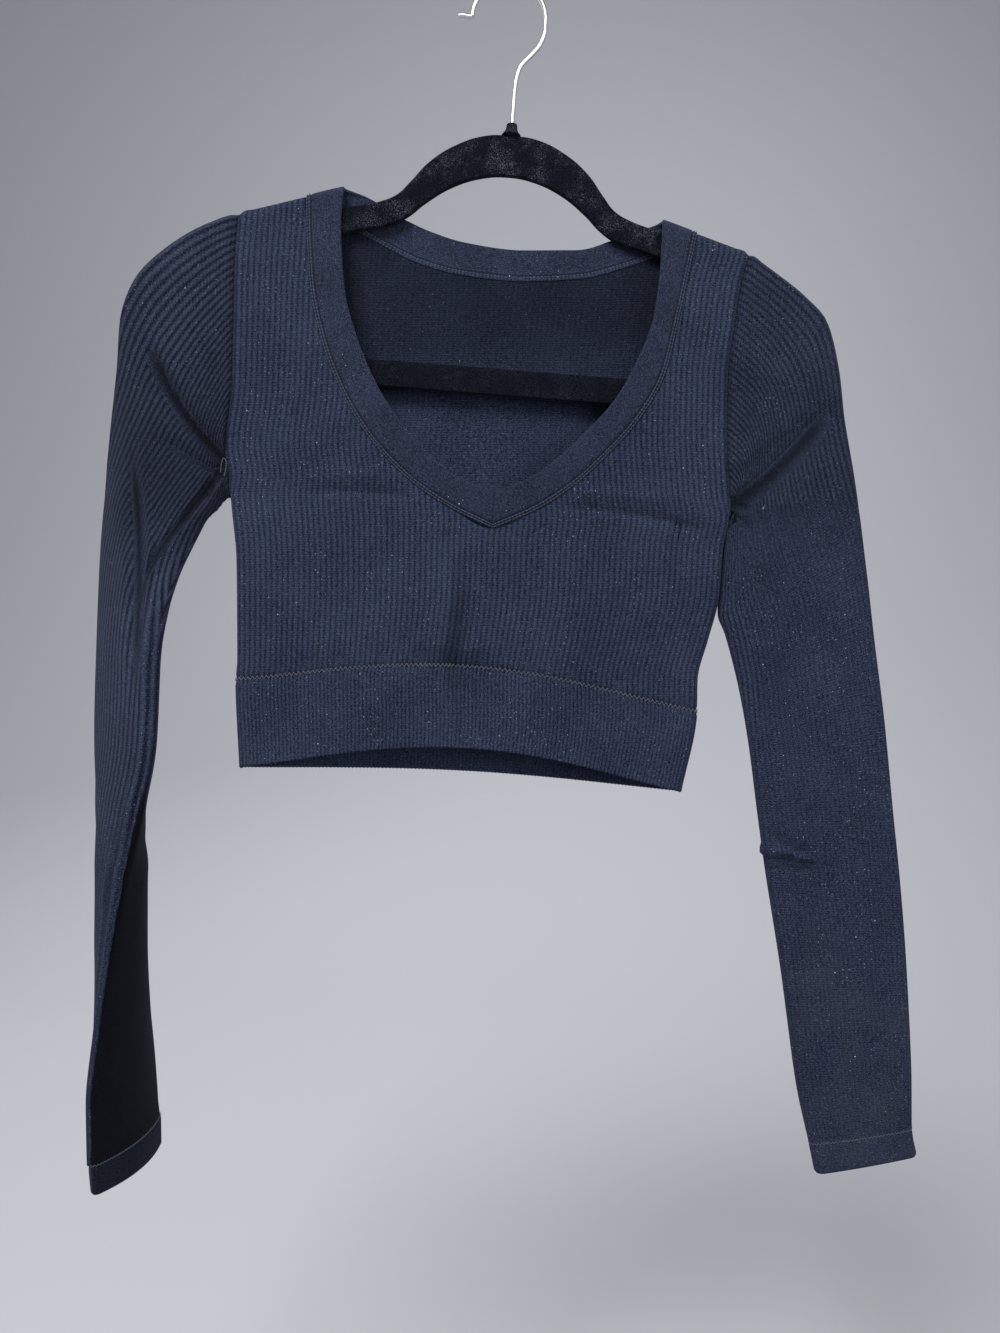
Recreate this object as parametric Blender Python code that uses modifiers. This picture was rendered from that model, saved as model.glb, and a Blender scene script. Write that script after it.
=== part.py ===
"""Long-sleeved ribbed crop top on a flocked hanger, hung by the hanger's hook.

Metres, +Z up, +X towards the wearer's left sleeve, front of the garment towards -Y.
The origin is the underside of the hook's top, where a rail carries it.
Sizes in the tables are millimetres; MM turns them into metres.
"""

import math

import bmesh
import bpy
import numpy as np
from mathutils import Vector

MM = 0.001

# Cloth
PANEL_WALL = 1.2        # single rib knit
BAND_WALL = 1.8         # knit doubled over: neckband, waistband and cuffs
SEAM_GAP = 0.3          # between pieces that are sewn edge to edge
FOLD_RADIUS = 5.0       # roll of the cloth over the hanger and down the folded edges
BODY_BELLY = {"front": 8.0, "back": 6.0}   # how far each panel bows beyond the fold radius
ARMHOLE_BELLY = 3.5
BELLY_DROP = 80.0       # height below the shoulder over which a panel takes its full bow
FOLD_FADE = 30.0        # a panel's soft folds die out this near its sides
EDGE_LIFT_POWER = 1.2   # how evenly a lifted lower edge rises between the sides

# Hanger
WIRE_RADIUS = 1.5
HOOK_RADIUS = 24.5      # centre line of the round part
HANGER_THICK = 5.0
HANGER_EDGE = 1.2       # rounding of the moulding's edges
HANGER_TILT = 4.5       # degrees, wearer's left end down
HANGER_FOOT = (1.3, -102.1)   # x, z of the collar's base, which the tilt turns about
COLLAR = {"base radius": 6.3, "top radius": 3.7, "height": 8.0, "lift": 1.2}
COLLAR_LIP = 0.8        # chamfer round the collar's top
COLLAR_FLARE = 1.4      # height of the flare at its base
COLLAR_TURNS = 24       # steps once round it
STEM_HEIGHTS = (30, 20, 10, 1.2)   # of the wire's straight stem, above the collar's base

# Armhole seam and side fold: x of the body's edge at each height on the two sides
SIDES = {
    "right": [  # z, x
        (-152, -178.3), (-188, -180.5), (-225, -181), (-271, -182.3), (-308, -187),
        (-327, -184.6), (-340, -184.2), (-382, -180.5), (-449, -180), (-460, -181), (-519, -178.5),
    ],
    "left": [
        (-179, 159), (-202, 152), (-228, 148), (-262, 143.5), (-297, 143), (-354, 146),
        (-373, 142), (-407, 139), (-434, 132), (-462, 124.8), (-481, 124.5), (-535, 114),
    ],
}
ARMHOLE = {"right": (-152.0, -340.0), "left": (-179.0, -354.0)}   # top z, underarm z

# Neckband: inner edge (the opening) and outer edge (its seam), from one shoulder to the other
FRONT_NECK = [  # inner x, inner z, outer x, outer z
    (-108.8, -135.3, -134.0, -141.4),
    (-110.6, -162.0, -133.2, -169.0),
    (-107.7, -205.0, -130.6, -203.0),
    (-100.3, -234.7, -123.2, -238.0),
    (-85.9, -269.4, -108.0, -277.0),
    (-69.3, -294.8, -88.0, -308.0),
    (-49.8, -316.3, -62.5, -333.5),
    (-30.2, -330.7, -37.5, -350.0),
    (-9.5, -338.0, -11.0, -362.7),
    (9.5, -331.5, 17.0, -351.0),
    (29.3, -318.3, 42.0, -335.0),
    (48.9, -300.0, 63.5, -315.5),
    (67.1, -280.4, 86.0, -290.0),
    (81.8, -256.3, 102.0, -262.0),
    (95.0, -222.0, 111.5, -225.0),
    (99.9, -185.1, 118.5, -194.0),
    (101.4, -157.1, 124.6, -165.9),
]
V_ROW = 8               # row of FRONT_NECK at the point of the V
BACK_NECK = [
    (-108.8, -135.3, -134.0, -141.4),
    (-97.0, -138.5, -115.5, -153.5),
    (-71.7, -153.3, -85.0, -171.0),
    (-50.2, -163.0, -58.0, -183.5),
    (-28.8, -169.4, -32.0, -190.2),
    (10.0, -174.5, 10.0, -194.5),
    (45.0, -174.5, 48.0, -193.0),
    (68.4, -168.5, 76.0, -186.5),
    (88.0, -161.5, 102.0, -177.5),
    (101.4, -157.1, 124.6, -165.9),
]

# Lower edges of the body: height at each side fold, and how far the middle is lifted
EDGES = {
    "front": {"waist seam": (-460.8, -482.0, 19.0), "hem": (-518.5, -535.0, 21.0)},
    "back": {"waist seam": (-460.8, -482.0, 3.0), "hem": (-519.5, -535.5, 5.0)},
}

# Sleeve sections below the armhole: centre, half the flat width, lean of the section
# (its body side below its outer side), bow of each face, and turn about the vertical
SLEEVES = {
    "right": [  # centre x, centre z, half width, lean, belly, turn
        (-193.8, -250.4, 90.9, 85.1, 3.6, 0),
        (-207.8, -258.9, 85.6, 76.3, 4.0, 0),
        (-218.4, -269.5, 80.0, 68.8, 4.5, 0),
        (-224.6, -283.0, 72.9, 63.9, 5.0, 1),
        (-229.6, -304.3, 61.5, 57.5, 5.5, 15),
        (-236.5, -331.5, 55.5, 48.5, 6.0, 31),
        (-244.3, -365.5, 51.0, 38.0, 6.0, 42),
        (-249.3, -398.5, 48.5, 24.0, 6.0, 48),
        (-252.8, -438.0, 46.5, 9.0, 6.0, 51),
        (-255.1, -501.0, 46.0, 1.0, 6.5, 52),
        (-257.9, -545.0, 43.0, 0.0, 8.5, 58),
        (-256.3, -587.0, 38.5, 1.0, 12.5, 77),
        (-256.3, -640.0, 37.5, 2.0, 11.5, 85),
        (-255.5, -683.0, 37.0, 3.0, 9.5, 96),
        (-255.3, -728.0, 37.0, 5.0, 7.0, 105),
        (-253.8, -765.0, 36.0, 6.0, 5.5, 108),
        (-252.9, -785.0, 35.0, 4.5, 5.0, 108),
    ],
    "left": [
        (161.6, -273.0, 82.8, 79.8, 3.6, 0),
        (171.9, -281.8, 78.1, 71.9, 4.0, 0),
        (179.0, -291.3, 74.1, 65.1, 4.0, 0),
        (181.4, -310.9, 65.0, 55.6, 4.0, 0),
        (181.9, -334.0, 59.8, 48.7, 4.0, 0),
        (183.6, -362.6, 58.4, 42.2, 4.0, 0),
        (185.7, -386.7, 55.6, 33.5, 3.5, 0),
        (190.1, -410.4, 51.5, 25.1, 3.5, 0),
        (196.9, -449.9, 47.5, 18.3, 3.0, 0),
        (203.5, -494.6, 45.6, 8.3, 3.0, 0),
        (209.8, -552.0, 44.8, 1.3, 3.0, 0),
        (214.1, -588.4, 44.4, -1.3, 3.0, 0),
        (221.4, -650.4, 41.8, 0.0, 2.5, 0),
        (228.7, -729.4, 38.0, 4.5, 2.0, 0),
        (232.7, -762.8, 34.4, 8.4, 1.5, 0),
        (236.3, -781.7, 34.0, 10.2, 1.5, 0),
    ],
}
CUFF_ROWS = 2           # the last two sections of a sleeve bound its cuff

# Where points lie across a flattened ring, close together at its rolled edges
ROUND = [0, 0.004, 0.02, 0.08, 0.2, 0.35, 0.5, 0.65, 0.8, 0.92, 0.98, 0.996, 1]
# Extra places along the neck seam where it rolls over the shoulder line: share of a row
OVER_SHOULDER = {"front": [0.03, 0.18], "back": [0.08, 0.4]}
# Columns of a panel between its side and the neckband, in from the side
SIDE_COLUMNS = [0, 0.8, 4, 16, 30]
# Rows of a panel between its underarm and the waist seam: share of that height
BELOW_UNDERARM = [0.04, 0.2, 0.45, 0.7, 1]
WAISTBAND_ROWS = 4
WAISTBAND_COLUMNS = 23
NECKBAND_COLUMNS = 5

# Largest soft folds of the two panels: a ridge (+) or trough (-) along a line
FOLDS = {
    "front": [  # x, z at one end, x, z at the other, half width, height
        (-24, -395, -38, -452, 16, 3.0),
        (-38, -452, -26, -512, 15, 5.0),
        (-14, -440, -8, -512, 14, -3.5),
    ],
    "back": [
        (40, -420, 55, -520, 18, 3.0),
        (-110, -430, -95, -520, 16, -2.5),
    ],
}

# Hook wire below its round part, and its turned-out tip: x, z
HOOK_CRANK = [(24.0, -31.0), (20.8, -40.0), (14.0, -48.0), (7.6, -55.0), (4.9, -63.0)]
HOOK_TIP = [(-26.5, -21.6), (-30.0, -20.8), (-33.4, -21.0)]

# Half outline of the hanger about its middle, below the collar's base: across, height
ARM_TOP = [
    (0, 0.7), (16, -0.3), (36, -8.2), (53, -21), (64, -34.5), (72, -43.5), (82, -48.8),
    (105, -55), (135, -62), (160, -69), (174, -76), (187, -84.5), (200, -93), (209, -103),
]
ARM_END = [(213.5, -113), (210, -124), (204, -137), (197, -153), (189, -165.5), (176, -171.3)]
BAR_BOTTOM = [(120, -171.3), (0, -171.3)]
ARM_BOTTOM = [
    (0, -26), (16, -27.8), (36, -35.5), (53, -47.5), (64, -57.5), (74, -63.5), (84, -66.5),
    (105, -72), (135, -79), (160, -87), (176, -96), (188, -107),
]
ARM_INSIDE = [(192.5, -119), (188, -134), (182, -147), (171, -153.5)]
BAR_TOP = [(120, -153.5), (0, -153.5)]

COLOURS = {  # red, green, blue, roughness, metallic
    "rib knit": (0.020, 0.022, 0.034, 0.85, 0.0),
    "band knit": (0.018, 0.020, 0.031, 0.80, 0.0),
    "velvet flock": (0.010, 0.010, 0.012, 0.95, 0.0),
    "hook wire": (0.72, 0.71, 0.70, 0.28, 1.0),
}


# ---------------------------------------------------------------- the scene
def clear_scene():
    for old in list(bpy.data.objects):
        bpy.data.objects.remove(old, do_unlink=True)


def new_collection(name):
    collection = bpy.data.collections.new(name)
    bpy.context.scene.collection.children.link(collection)
    return collection


def material(name):
    red, green, blue, roughness, metallic = COLOURS[name]
    made = bpy.data.materials.get(name) or bpy.data.materials.new(name)
    made.use_nodes = True
    made.diffuse_color = (red, green, blue, 1)
    shader = made.node_tree.nodes["Principled BSDF"]
    shader.inputs["Base Color"].default_value = (red, green, blue, 1)
    shader.inputs["Roughness"].default_value = roughness
    shader.inputs["Metallic"].default_value = metallic
    return made


def add_object(name, data, finish, collection):
    made = bpy.data.objects.new(name, data)
    data.materials.append(material(finish))
    collection.objects.link(made)
    return made


# ---------------------------------------------------------------- curves through named sizes
def slopes_through(at, values):
    """Slopes of a smooth curve through the values that never overshoots them."""
    steps = np.diff(at)
    rises = np.diff(values) / steps
    slopes = np.zeros(len(at))
    slopes[0] = rises[0]
    slopes[-1] = rises[-1]
    for i in range(1, len(at) - 1):
        if rises[i - 1] * rises[i] > 0:
            before = 2 * steps[i] + steps[i - 1]
            after = steps[i] + 2 * steps[i - 1]
            slopes[i] = (before + after) / (before / rises[i - 1] + after / rises[i])
    return slopes


def smooth_through(at, values, where):
    """The values read off a smooth curve at each place; the ends carry on level."""
    at = np.asarray(at, float)
    values = np.asarray(values, float)
    where = np.clip(where, at[0], at[-1])
    slopes = slopes_through(at, values)
    i = np.clip(np.searchsorted(at, where, side="right") - 1, 0, len(at) - 2)
    width = at[i + 1] - at[i]
    t = (where - at[i]) / width
    return (
        values[i] * (1 + 2 * t) * (1 - t) ** 2
        + slopes[i] * width * t * (1 - t) ** 2
        + values[i + 1] * t * t * (3 - 2 * t)
        + slopes[i + 1] * width * t * t * (t - 1)
    )


def table_through(rows, where):
    """Each column of a table read off a smooth curve, by row number."""
    rows = np.asarray(rows, float)
    at = np.arange(len(rows))
    return np.stack([smooth_through(at, column, where) for column in rows.T], axis=-1)


def smooth_step(value):
    t = np.clip(value, 0, 1)
    return t * t * (3 - 2 * t)


# ---------------------------------------------------------------- form of the body
def side_x(side, z):
    heights, xs = zip(*reversed(SIDES[side]))
    return smooth_through(heights, xs, z)


def ridge_z(u):
    """Height of the shoulder line above a place across: straight from neck to armhole."""
    right_z, right_x = SIDES["right"][0]
    left_z, left_x = SIDES["left"][0]
    ends = [(right_x, right_z), FRONT_NECK[0][:2], FRONT_NECK[-1][:2], (left_x, left_z)]
    x = right_x * (1 - u) + left_x * u
    return np.interp(x, [end[0] for end in ends], [end[1] for end in ends])


def rolled(distance):
    """0 at a folded edge and 1 from a fold radius inside it, along a quarter circle."""
    reach = np.clip(distance / FOLD_RADIUS, 0, 1)
    return np.sqrt(1 - (1 - reach) ** 2)


def fold_height(face, x, z):
    """Sum of the soft ridges and troughs of a panel, each fading out along its own line."""
    total = 0.0
    for x0, z0, x1, z1, half_width, height in FOLDS[face]:
        along = ((x - x0) * (x1 - x0) + (z - z0) * (z1 - z0)) / ((x1 - x0) ** 2 + (z1 - z0) ** 2)
        nearest = np.clip(along, 0, 1)
        away = np.hypot(x - x0 - nearest * (x1 - x0), z - z0 - nearest * (z1 - z0))
        total = total + height * np.exp(-((away / half_width) ** 2))
    return total


def armhole_depth(side, z):
    """Half the depth of the armhole's ring at a height: rolled at both ends, bowed between."""
    top, underarm = ARMHOLE[side]
    t = np.clip((top - z) / (top - underarm), 0, 1)
    return FOLD_RADIUS * rolled(top - z) * rolled(z - underarm) + ARMHOLE_BELLY * 4 * t * (1 - t)


def body_depth(face, u, x, z):
    """How far a panel's outer surface stands from the middle plane."""
    below = ridge_z(u) - z
    right, left = side_x("right", z), side_x("left", z)
    in_from_side = np.minimum(u, 1 - u) * (left - right)
    side = "right" if u < 0.5 else "left"
    underarm = ARMHOLE[side][1]
    open_side = rolled(z - underarm) if z > underarm else 0.0
    edge = 1 - (1 - rolled(in_from_side)) * (1 - open_side)
    across = 4 * u * (1 - u)
    bow = BODY_BELLY[face] * smooth_step(below / BELLY_DROP) * across
    t = np.clip((ARMHOLE[side][0] - z) / (ARMHOLE[side][0] - underarm), 0, 1)
    near_side = (1 - across) ** 4
    bow += ARMHOLE_BELLY * 4 * t * (1 - t) * near_side
    depth = FOLD_RADIUS * rolled(below) * edge + bow
    return depth + fold_height(face, x, z) * smooth_step(in_from_side / FOLD_FADE)


def body_x(u, z):
    return side_x("right", z) * (1 - u) + side_x("left", z) * u


def across_of(x, z):
    right, left = side_x("right", z), side_x("left", z)
    return (x - right) / (left - right)


def body_point(face, u, z):
    x = body_x(u, z)
    depth = max(body_depth(face, u, x, z), SEAM_GAP / 2)
    return (x, -depth if face == "front" else depth, z)


def edge_z(face, edge, u):
    """Height of the waist seam or the hem: straight between the sides, lifted in the middle."""
    right, left, lift = EDGES[face][edge]
    return right * (1 - u) + left * u + lift * math.sin(math.pi * u) ** EDGE_LIFT_POWER


# ---------------------------------------------------------------- cloth as walls
def cloth_wall(name, grid, wall, flip, finish, collection, closed=False, seam=None):
    """An open or tubular sheet through rows of points, thickened inwards.

    seam is the face of a panel that meets its other half at the middle plane, where the
    inner skin is pressed flat so that the two halves keep their gap.
    """
    mesh = bpy.data.meshes.new(name)
    sheet = bmesh.new()
    rows = [[sheet.verts.new(Vector(point) * MM) for point in row] for row in grid]
    columns = len(rows[0])
    for upper, lower in zip(rows, rows[1:]):
        for i in range(columns if closed else columns - 1):
            j = (i + 1) % columns
            corners = [upper[i], lower[i], lower[j], upper[j]]
            sheet.faces.new(reversed(corners) if flip else corners)
    sheet.to_mesh(mesh)
    sheet.free()
    made = add_object(name, mesh, finish, collection)
    thicken = made.modifiers.new("wall", "SOLIDIFY")
    thicken.thickness = wall * MM
    thicken.offset = -1
    if seam:
        press_to_seam(made, -1 if seam == "front" else 1)
    made.data.shade_smooth()
    return made


def press_to_seam(made, direction):
    graph = bpy.context.evaluated_depsgraph_get()
    solid = bpy.data.meshes.new_from_object(made.evaluated_get(graph))
    nearest = SEAM_GAP / 2 * MM
    for vertex in solid.vertices:
        if vertex.co.y * direction < nearest:
            vertex.co.y = nearest * direction
    made.modifiers.clear()
    made.data = solid


def neck_rows(face):
    """The neckband's rows from shoulder to shoulder, closer together at the shoulders."""
    table = FRONT_NECK if face == "front" else BACK_NECK
    last = len(table) - 1
    extra = OVER_SHOULDER[face]
    where = sorted([*range(last + 1), *extra, *(last - step for step in extra)])
    return table_through(table, np.array(where))


def panel_columns(face):
    """Columns of a panel: fraction across, and the height of its top edge there."""
    columns = [(float(across_of(x, z)), z) for _, _, x, z in neck_rows(face)]
    width = SIDES["left"][0][1] - SIDES["right"][0][1]
    for step in SIDE_COLUMNS:
        columns.append((step / width, float(ridge_z(step / width))))
        columns.append((1 - step / width, float(ridge_z(1 - step / width))))
    return sorted(columns)


def panel_fractions(u):
    """Where a column's points lie down its length, in step with the two armholes' rings."""
    armhole, length = [], []
    for side, place in (("right", 0), ("left", 1)):
        top, underarm = ARMHOLE[side]
        armhole.append(top - underarm)
        length.append(top - edge_z("front", "waist seam", place))
    share = (armhole[0] / length[0]) * (1 - u) + (armhole[1] / length[1]) * u
    below = [share + (1 - share) * t for t in BELOW_UNDERARM]
    return [share * t for t in ROUND] + below


def make_panel(face, collection):
    """Front or back of the body, from shoulder and neck seam down to the waist seam."""
    columns = []
    for u, top in panel_columns(face):
        length = top - edge_z(face, "waist seam", u)
        columns.append([body_point(face, u, top - length * t) for t in panel_fractions(u)])
    grid = [list(row) for row in zip(*columns)]
    cloth_wall(f"{face}_panel", grid, PANEL_WALL, face == "back", "rib knit", collection, seam=face)


def make_waistband(face, collection):
    """Half of the waistband, from its seam down to the hem."""
    rows = []
    for t in np.linspace(0, 1, WAISTBAND_ROWS):
        row = []
        for angle in np.linspace(0, math.pi, WAISTBAND_COLUMNS):
            u = (1 - math.cos(angle)) / 2
            top = edge_z(face, "waist seam", u) - SEAM_GAP
            row.append(body_point(face, u, top + (edge_z(face, "hem", u) - top) * t))
        rows.append(row)
    cloth_wall(f"waistband_{face}", rows, BAND_WALL, face == "back", "band knit", collection, seam=face)


def make_neckband(name, face, neck, collection):
    """A strip of the neckband between its opening edge and its seam."""
    rows = []
    for inner_x, inner_z, outer_x, outer_z in neck:
        row = []
        width = math.hypot(outer_x - inner_x, outer_z - inner_z)
        for t in np.linspace(0, 1 - SEAM_GAP / width, NECKBAND_COLUMNS):
            x = inner_x + (outer_x - inner_x) * t
            z = inner_z + (outer_z - inner_z) * t
            row.append(body_point(face, float(across_of(x, z)), z))
        rows.append(row)
    cloth_wall(name, rows, BAND_WALL, face == "back", "band knit", collection, seam=face)


# ---------------------------------------------------------------- sleeves
def ring_places():
    """Once round a flattened ring: how far across, and 1 on the front or -1 on the back."""
    return [(t, 1) for t in ROUND] + [(t, -1) for t in ROUND[-2:0:-1]]


def armhole_ring(side):
    """The sleeve's first ring: round the armhole seam, just outside the body's edge."""
    top, underarm = ARMHOLE[side]
    outwards = -1 if side == "right" else 1
    ring = []
    for t, face in ring_places():
        z = top + (underarm - top) * t
        ring.append((float(side_x(side, z)) + outwards * SEAM_GAP, -face * armhole_depth(side, z), z))
    return np.array(ring)


def sleeve_ring(side, section):
    """A flattened ring of the sleeve: both faces bow between its two rolled edges."""
    centre_x, centre_z, half, lean, belly, turn = section
    body_side = 1 if side == "right" else -1
    lean, turn = math.radians(lean), math.radians(turn)
    to_body = np.array([
        body_side * math.cos(lean) * math.cos(turn), -math.cos(lean) * math.sin(turn), -math.sin(lean),
    ])
    to_front = np.array([-body_side * math.sin(turn), -math.cos(turn), 0])
    centre = np.array([centre_x, 0, centre_z])
    ring = []
    for t, face in ring_places():
        from_edge = 2 * half * min(t, 1 - t)
        depth = FOLD_RADIUS * rolled(from_edge) + belly * 4 * t * (1 - t)
        ring.append(centre + to_body * half * (2 * t - 1) + to_front * face * depth)
    return np.array(ring)


def make_sleeve(side, collection):
    """The sleeve down to its cuff seam, and the cuff below it."""
    table = SLEEVES[side]
    cuff_seam = len(table) - CUFF_ROWS
    rings = [armhole_ring(side)]
    rings += [sleeve_ring(side, section) for section in table[:cuff_seam + 1]]
    flip = side == "left"
    cloth_wall(f"sleeve_{side}", rings, PANEL_WALL, flip, "rib knit", collection, closed=True)
    top, bottom = (np.array(section) for section in table[-CUFF_ROWS:])
    gap = SEAM_GAP / np.hypot(*(bottom - top)[:2])
    cuff = [sleeve_ring(side, top + (bottom - top) * t) for t in (gap, 0.5, 1)]
    cloth_wall(f"cuff_{side}", cuff, BAND_WALL, flip, "band knit", collection, closed=True)


# ---------------------------------------------------------------- hanger
def hanger_point(across, up):
    """A place on the hanger's own axes, about the collar's base, in the tilted hanger."""
    tilt = math.radians(HANGER_TILT)
    x = HANGER_FOOT[0] + across * math.cos(tilt) + up * math.sin(tilt)
    return (x, HANGER_FOOT[1] - across * math.sin(tilt) + up * math.cos(tilt))


def mirrored(half):
    """A closed outline from its half, which starts and ends on the middle line."""
    return half + [(-across, up) for across, up in half[-2:0:-1]]


def add_outline(curve, points):
    spline = curve.splines.new("BEZIER")
    spline.bezier_points.add(len(points) - 1)
    for knot, (across, up) in zip(spline.bezier_points, points):
        knot.co = (across * MM, up * MM, 0)
        knot.handle_left_type = knot.handle_right_type = "AUTO"
    spline.use_cyclic_u = True


def make_hanger_body(collection):
    """The moulded body: arch, two arms and trouser bar, one flat frame with rounded edges."""
    curve = bpy.data.curves.new("hanger_body", "CURVE")
    curve.dimensions = "2D"
    curve.fill_mode = "BOTH"
    curve.resolution_u = 2
    curve.extrude = (HANGER_THICK / 2 - HANGER_EDGE) * MM
    curve.bevel_depth = HANGER_EDGE * MM
    curve.offset = -HANGER_EDGE * MM
    curve.bevel_resolution = 1
    add_outline(curve, mirrored(ARM_TOP + ARM_END + BAR_BOTTOM))
    add_outline(curve, mirrored(ARM_BOTTOM + ARM_INSIDE + BAR_TOP))
    made = add_object("hanger_body", curve, "velvet flock", collection)
    made.location = (HANGER_FOOT[0] * MM, 0, HANGER_FOOT[1] * MM)
    made.rotation_euler = (math.pi / 2, math.radians(HANGER_TILT), 0)
    return made


def make_collar(collection):
    """The tapered collar round the hook's stem: a turned ring on top of the arch."""
    bore = WIRE_RADIUS + SEAM_GAP
    low, high = COLLAR["lift"], COLLAR["lift"] + COLLAR["height"]
    waist = COLLAR["top radius"] + 0.4
    profile = [
        (COLLAR["top radius"] - COLLAR_LIP, high), (COLLAR["top radius"], high - COLLAR_LIP),
        (waist, (low + high) / 2), (COLLAR["base radius"] - 0.6, low + COLLAR_FLARE),
        (COLLAR["base radius"], low), (bore, low), (bore, high),
    ]
    mesh = bpy.data.meshes.new("hanger_collar")
    outline = bmesh.new()
    corners = [outline.verts.new((radius * MM, 0, up * MM)) for radius, up in profile]
    for start, end in zip(corners, corners[1:] + corners[:1]):
        outline.edges.new((start, end))
    outline.to_mesh(mesh)
    outline.free()
    made = add_object("hanger_collar", mesh, "velvet flock", collection)
    made.location = (HANGER_FOOT[0] * MM, 0, HANGER_FOOT[1] * MM)
    made.rotation_euler = (0, math.radians(HANGER_TILT), 0)
    turn = made.modifiers.new("turn", "SCREW")
    turn.steps = turn.render_steps = COLLAR_TURNS
    turn.use_merge_vertices = True
    turn.merge_threshold = 0.0001
    return made


def hook_route():
    """Centre line of the hook's wire, from its turned-out tip over the top and down the stem."""
    low = HOOK_RADIUS - WIRE_RADIUS
    round_part = []
    for degrees in range(176, -12, -11):
        angle = math.radians(degrees)
        round_part.append((HOOK_RADIUS * math.cos(angle), HOOK_RADIUS * math.sin(angle) - low))
    stem = [hanger_point(0, up) for up in STEM_HEIGHTS]
    return HOOK_TIP[::-1] + round_part + HOOK_CRANK + stem


def make_hook(collection):
    curve = bpy.data.curves.new("hanger_hook", "CURVE")
    curve.dimensions = "3D"
    curve.bevel_depth = WIRE_RADIUS * MM
    curve.bevel_resolution = 2
    curve.use_fill_caps = True
    route = hook_route()
    spline = curve.splines.new("POLY")
    spline.points.add(len(route) - 1)
    for knot, (x, z) in zip(spline.points, route):
        knot.co = (x * MM, 0, z * MM, 1)
    return add_object("hanger_hook", curve, "hook wire", collection)


def main():
    clear_scene()
    garment = new_collection("ribbed crop top on hanger")
    for face in ("front", "back"):
        make_panel(face, garment)
        make_waistband(face, garment)
    front_neck = neck_rows("front")
    point = V_ROW + len(OVER_SHOULDER["front"])
    make_neckband("neckband_front_right", "front", front_neck[:point + 1], garment)
    make_neckband("neckband_front_left", "front", front_neck[point:], garment)
    make_neckband("neckband_back", "back", neck_rows("back"), garment)
    for side in ("right", "left"):
        make_sleeve(side, garment)
    make_hanger_body(garment)
    make_collar(garment)
    make_hook(garment)


main()
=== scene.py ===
"""Ribbed crop top on a flocked hanger: its looks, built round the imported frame.

Metres, +Z up, +X towards the wearer's left sleeve, front of the garment towards -Y.
Sizes in the tables are millimetres, as a maker would write them; MM turns them into metres.
"""

import math

import bmesh
import bpy
import numpy as np
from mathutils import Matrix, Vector


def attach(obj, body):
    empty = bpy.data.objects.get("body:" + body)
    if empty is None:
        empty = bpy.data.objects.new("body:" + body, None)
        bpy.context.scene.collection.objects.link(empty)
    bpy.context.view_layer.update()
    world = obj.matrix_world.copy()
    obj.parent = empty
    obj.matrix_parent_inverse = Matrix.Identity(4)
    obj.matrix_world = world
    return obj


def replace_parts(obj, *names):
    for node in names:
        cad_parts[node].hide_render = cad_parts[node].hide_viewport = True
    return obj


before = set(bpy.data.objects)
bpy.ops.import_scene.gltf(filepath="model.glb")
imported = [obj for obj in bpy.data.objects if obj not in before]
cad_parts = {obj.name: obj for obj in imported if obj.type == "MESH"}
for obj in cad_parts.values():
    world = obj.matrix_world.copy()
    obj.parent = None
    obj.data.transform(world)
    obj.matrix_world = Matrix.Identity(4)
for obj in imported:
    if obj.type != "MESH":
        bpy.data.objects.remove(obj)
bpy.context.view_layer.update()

MM = 0.001

# ---------------------------------------------------------------- sizes of the cloth
PANEL_WALL = 1.2
BAND_WALL = 1.8
FOLD_RADIUS = 5.0
FOLD_SPARE = FOLD_RADIUS * (math.pi / 2 - 1)   # cloth taken up by one fold beyond its reach
BODY_BELLY = {"front": 8.0, "back": 6.0}     # how far the middle of a panel bows out
ARMHOLE_BELLY = 3.5
BELLY_DROP = 80.0
FOLD_FADE = 30.0
FOLD_ENDS = (3.5, 0.06)   # how fast a fold rises from its ends, and the share that is there
ARMHOLE_BLEND = 15.0      # height over which the open armhole closes into the side fold
STEEP_SHARE = 0.38      # how much narrower a fold is on its steep side
RIM_SHARPENS = 2.6      # how much tighter the turned sleeve's folds are
EDGE_LIFT_POWER = 1.2

SIDES = {   # z, x down each side of the body: armhole seam, then side fold
    "right": [
        (-152, -178.3), (-188, -180.5), (-225, -181), (-271, -182.3), (-308, -187),
        (-327, -184.6), (-340, -184.2), (-382, -180.5), (-449, -180), (-460, -181), (-519, -178.5),
    ],
    "left": [
        (-179, 159), (-202, 152), (-228, 148), (-262, 143.5), (-297, 143), (-354, 146),
        (-373, 142), (-407, 139), (-434, 132), (-462, 124.8), (-481, 124.5), (-535, 114),
    ],
}
ARMHOLE = {"right": (-152.0, -340.0), "left": (-179.0, -354.0)}   # top z, underarm z

FRONT_NECK = [  # inner x, inner z, outer x, outer z, from the right shoulder to the left
    (-108.8, -135.3, -134.0, -141.4), (-110.6, -162.0, -133.2, -169.0),
    (-107.7, -205.0, -130.6, -203.0), (-100.3, -234.7, -123.2, -238.0),
    (-85.9, -269.4, -108.0, -277.0), (-69.3, -294.8, -88.0, -308.0),
    (-49.8, -316.3, -62.5, -333.5), (-30.2, -330.7, -37.5, -350.0),
    (-9.5, -338.0, -11.0, -362.7), (9.5, -331.5, 17.0, -351.0),
    (29.3, -318.3, 42.0, -335.0), (48.9, -300.0, 63.5, -315.5),
    (67.1, -280.4, 86.0, -290.0), (81.8, -256.3, 102.0, -262.0),
    (95.0, -222.0, 111.5, -225.0), (99.9, -185.1, 118.5, -194.0),
    (101.4, -157.1, 124.6, -165.9),
]
V_ROW = 8               # the row at the point of the V
NECK_ROWS_CROWD = 1.7
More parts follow.
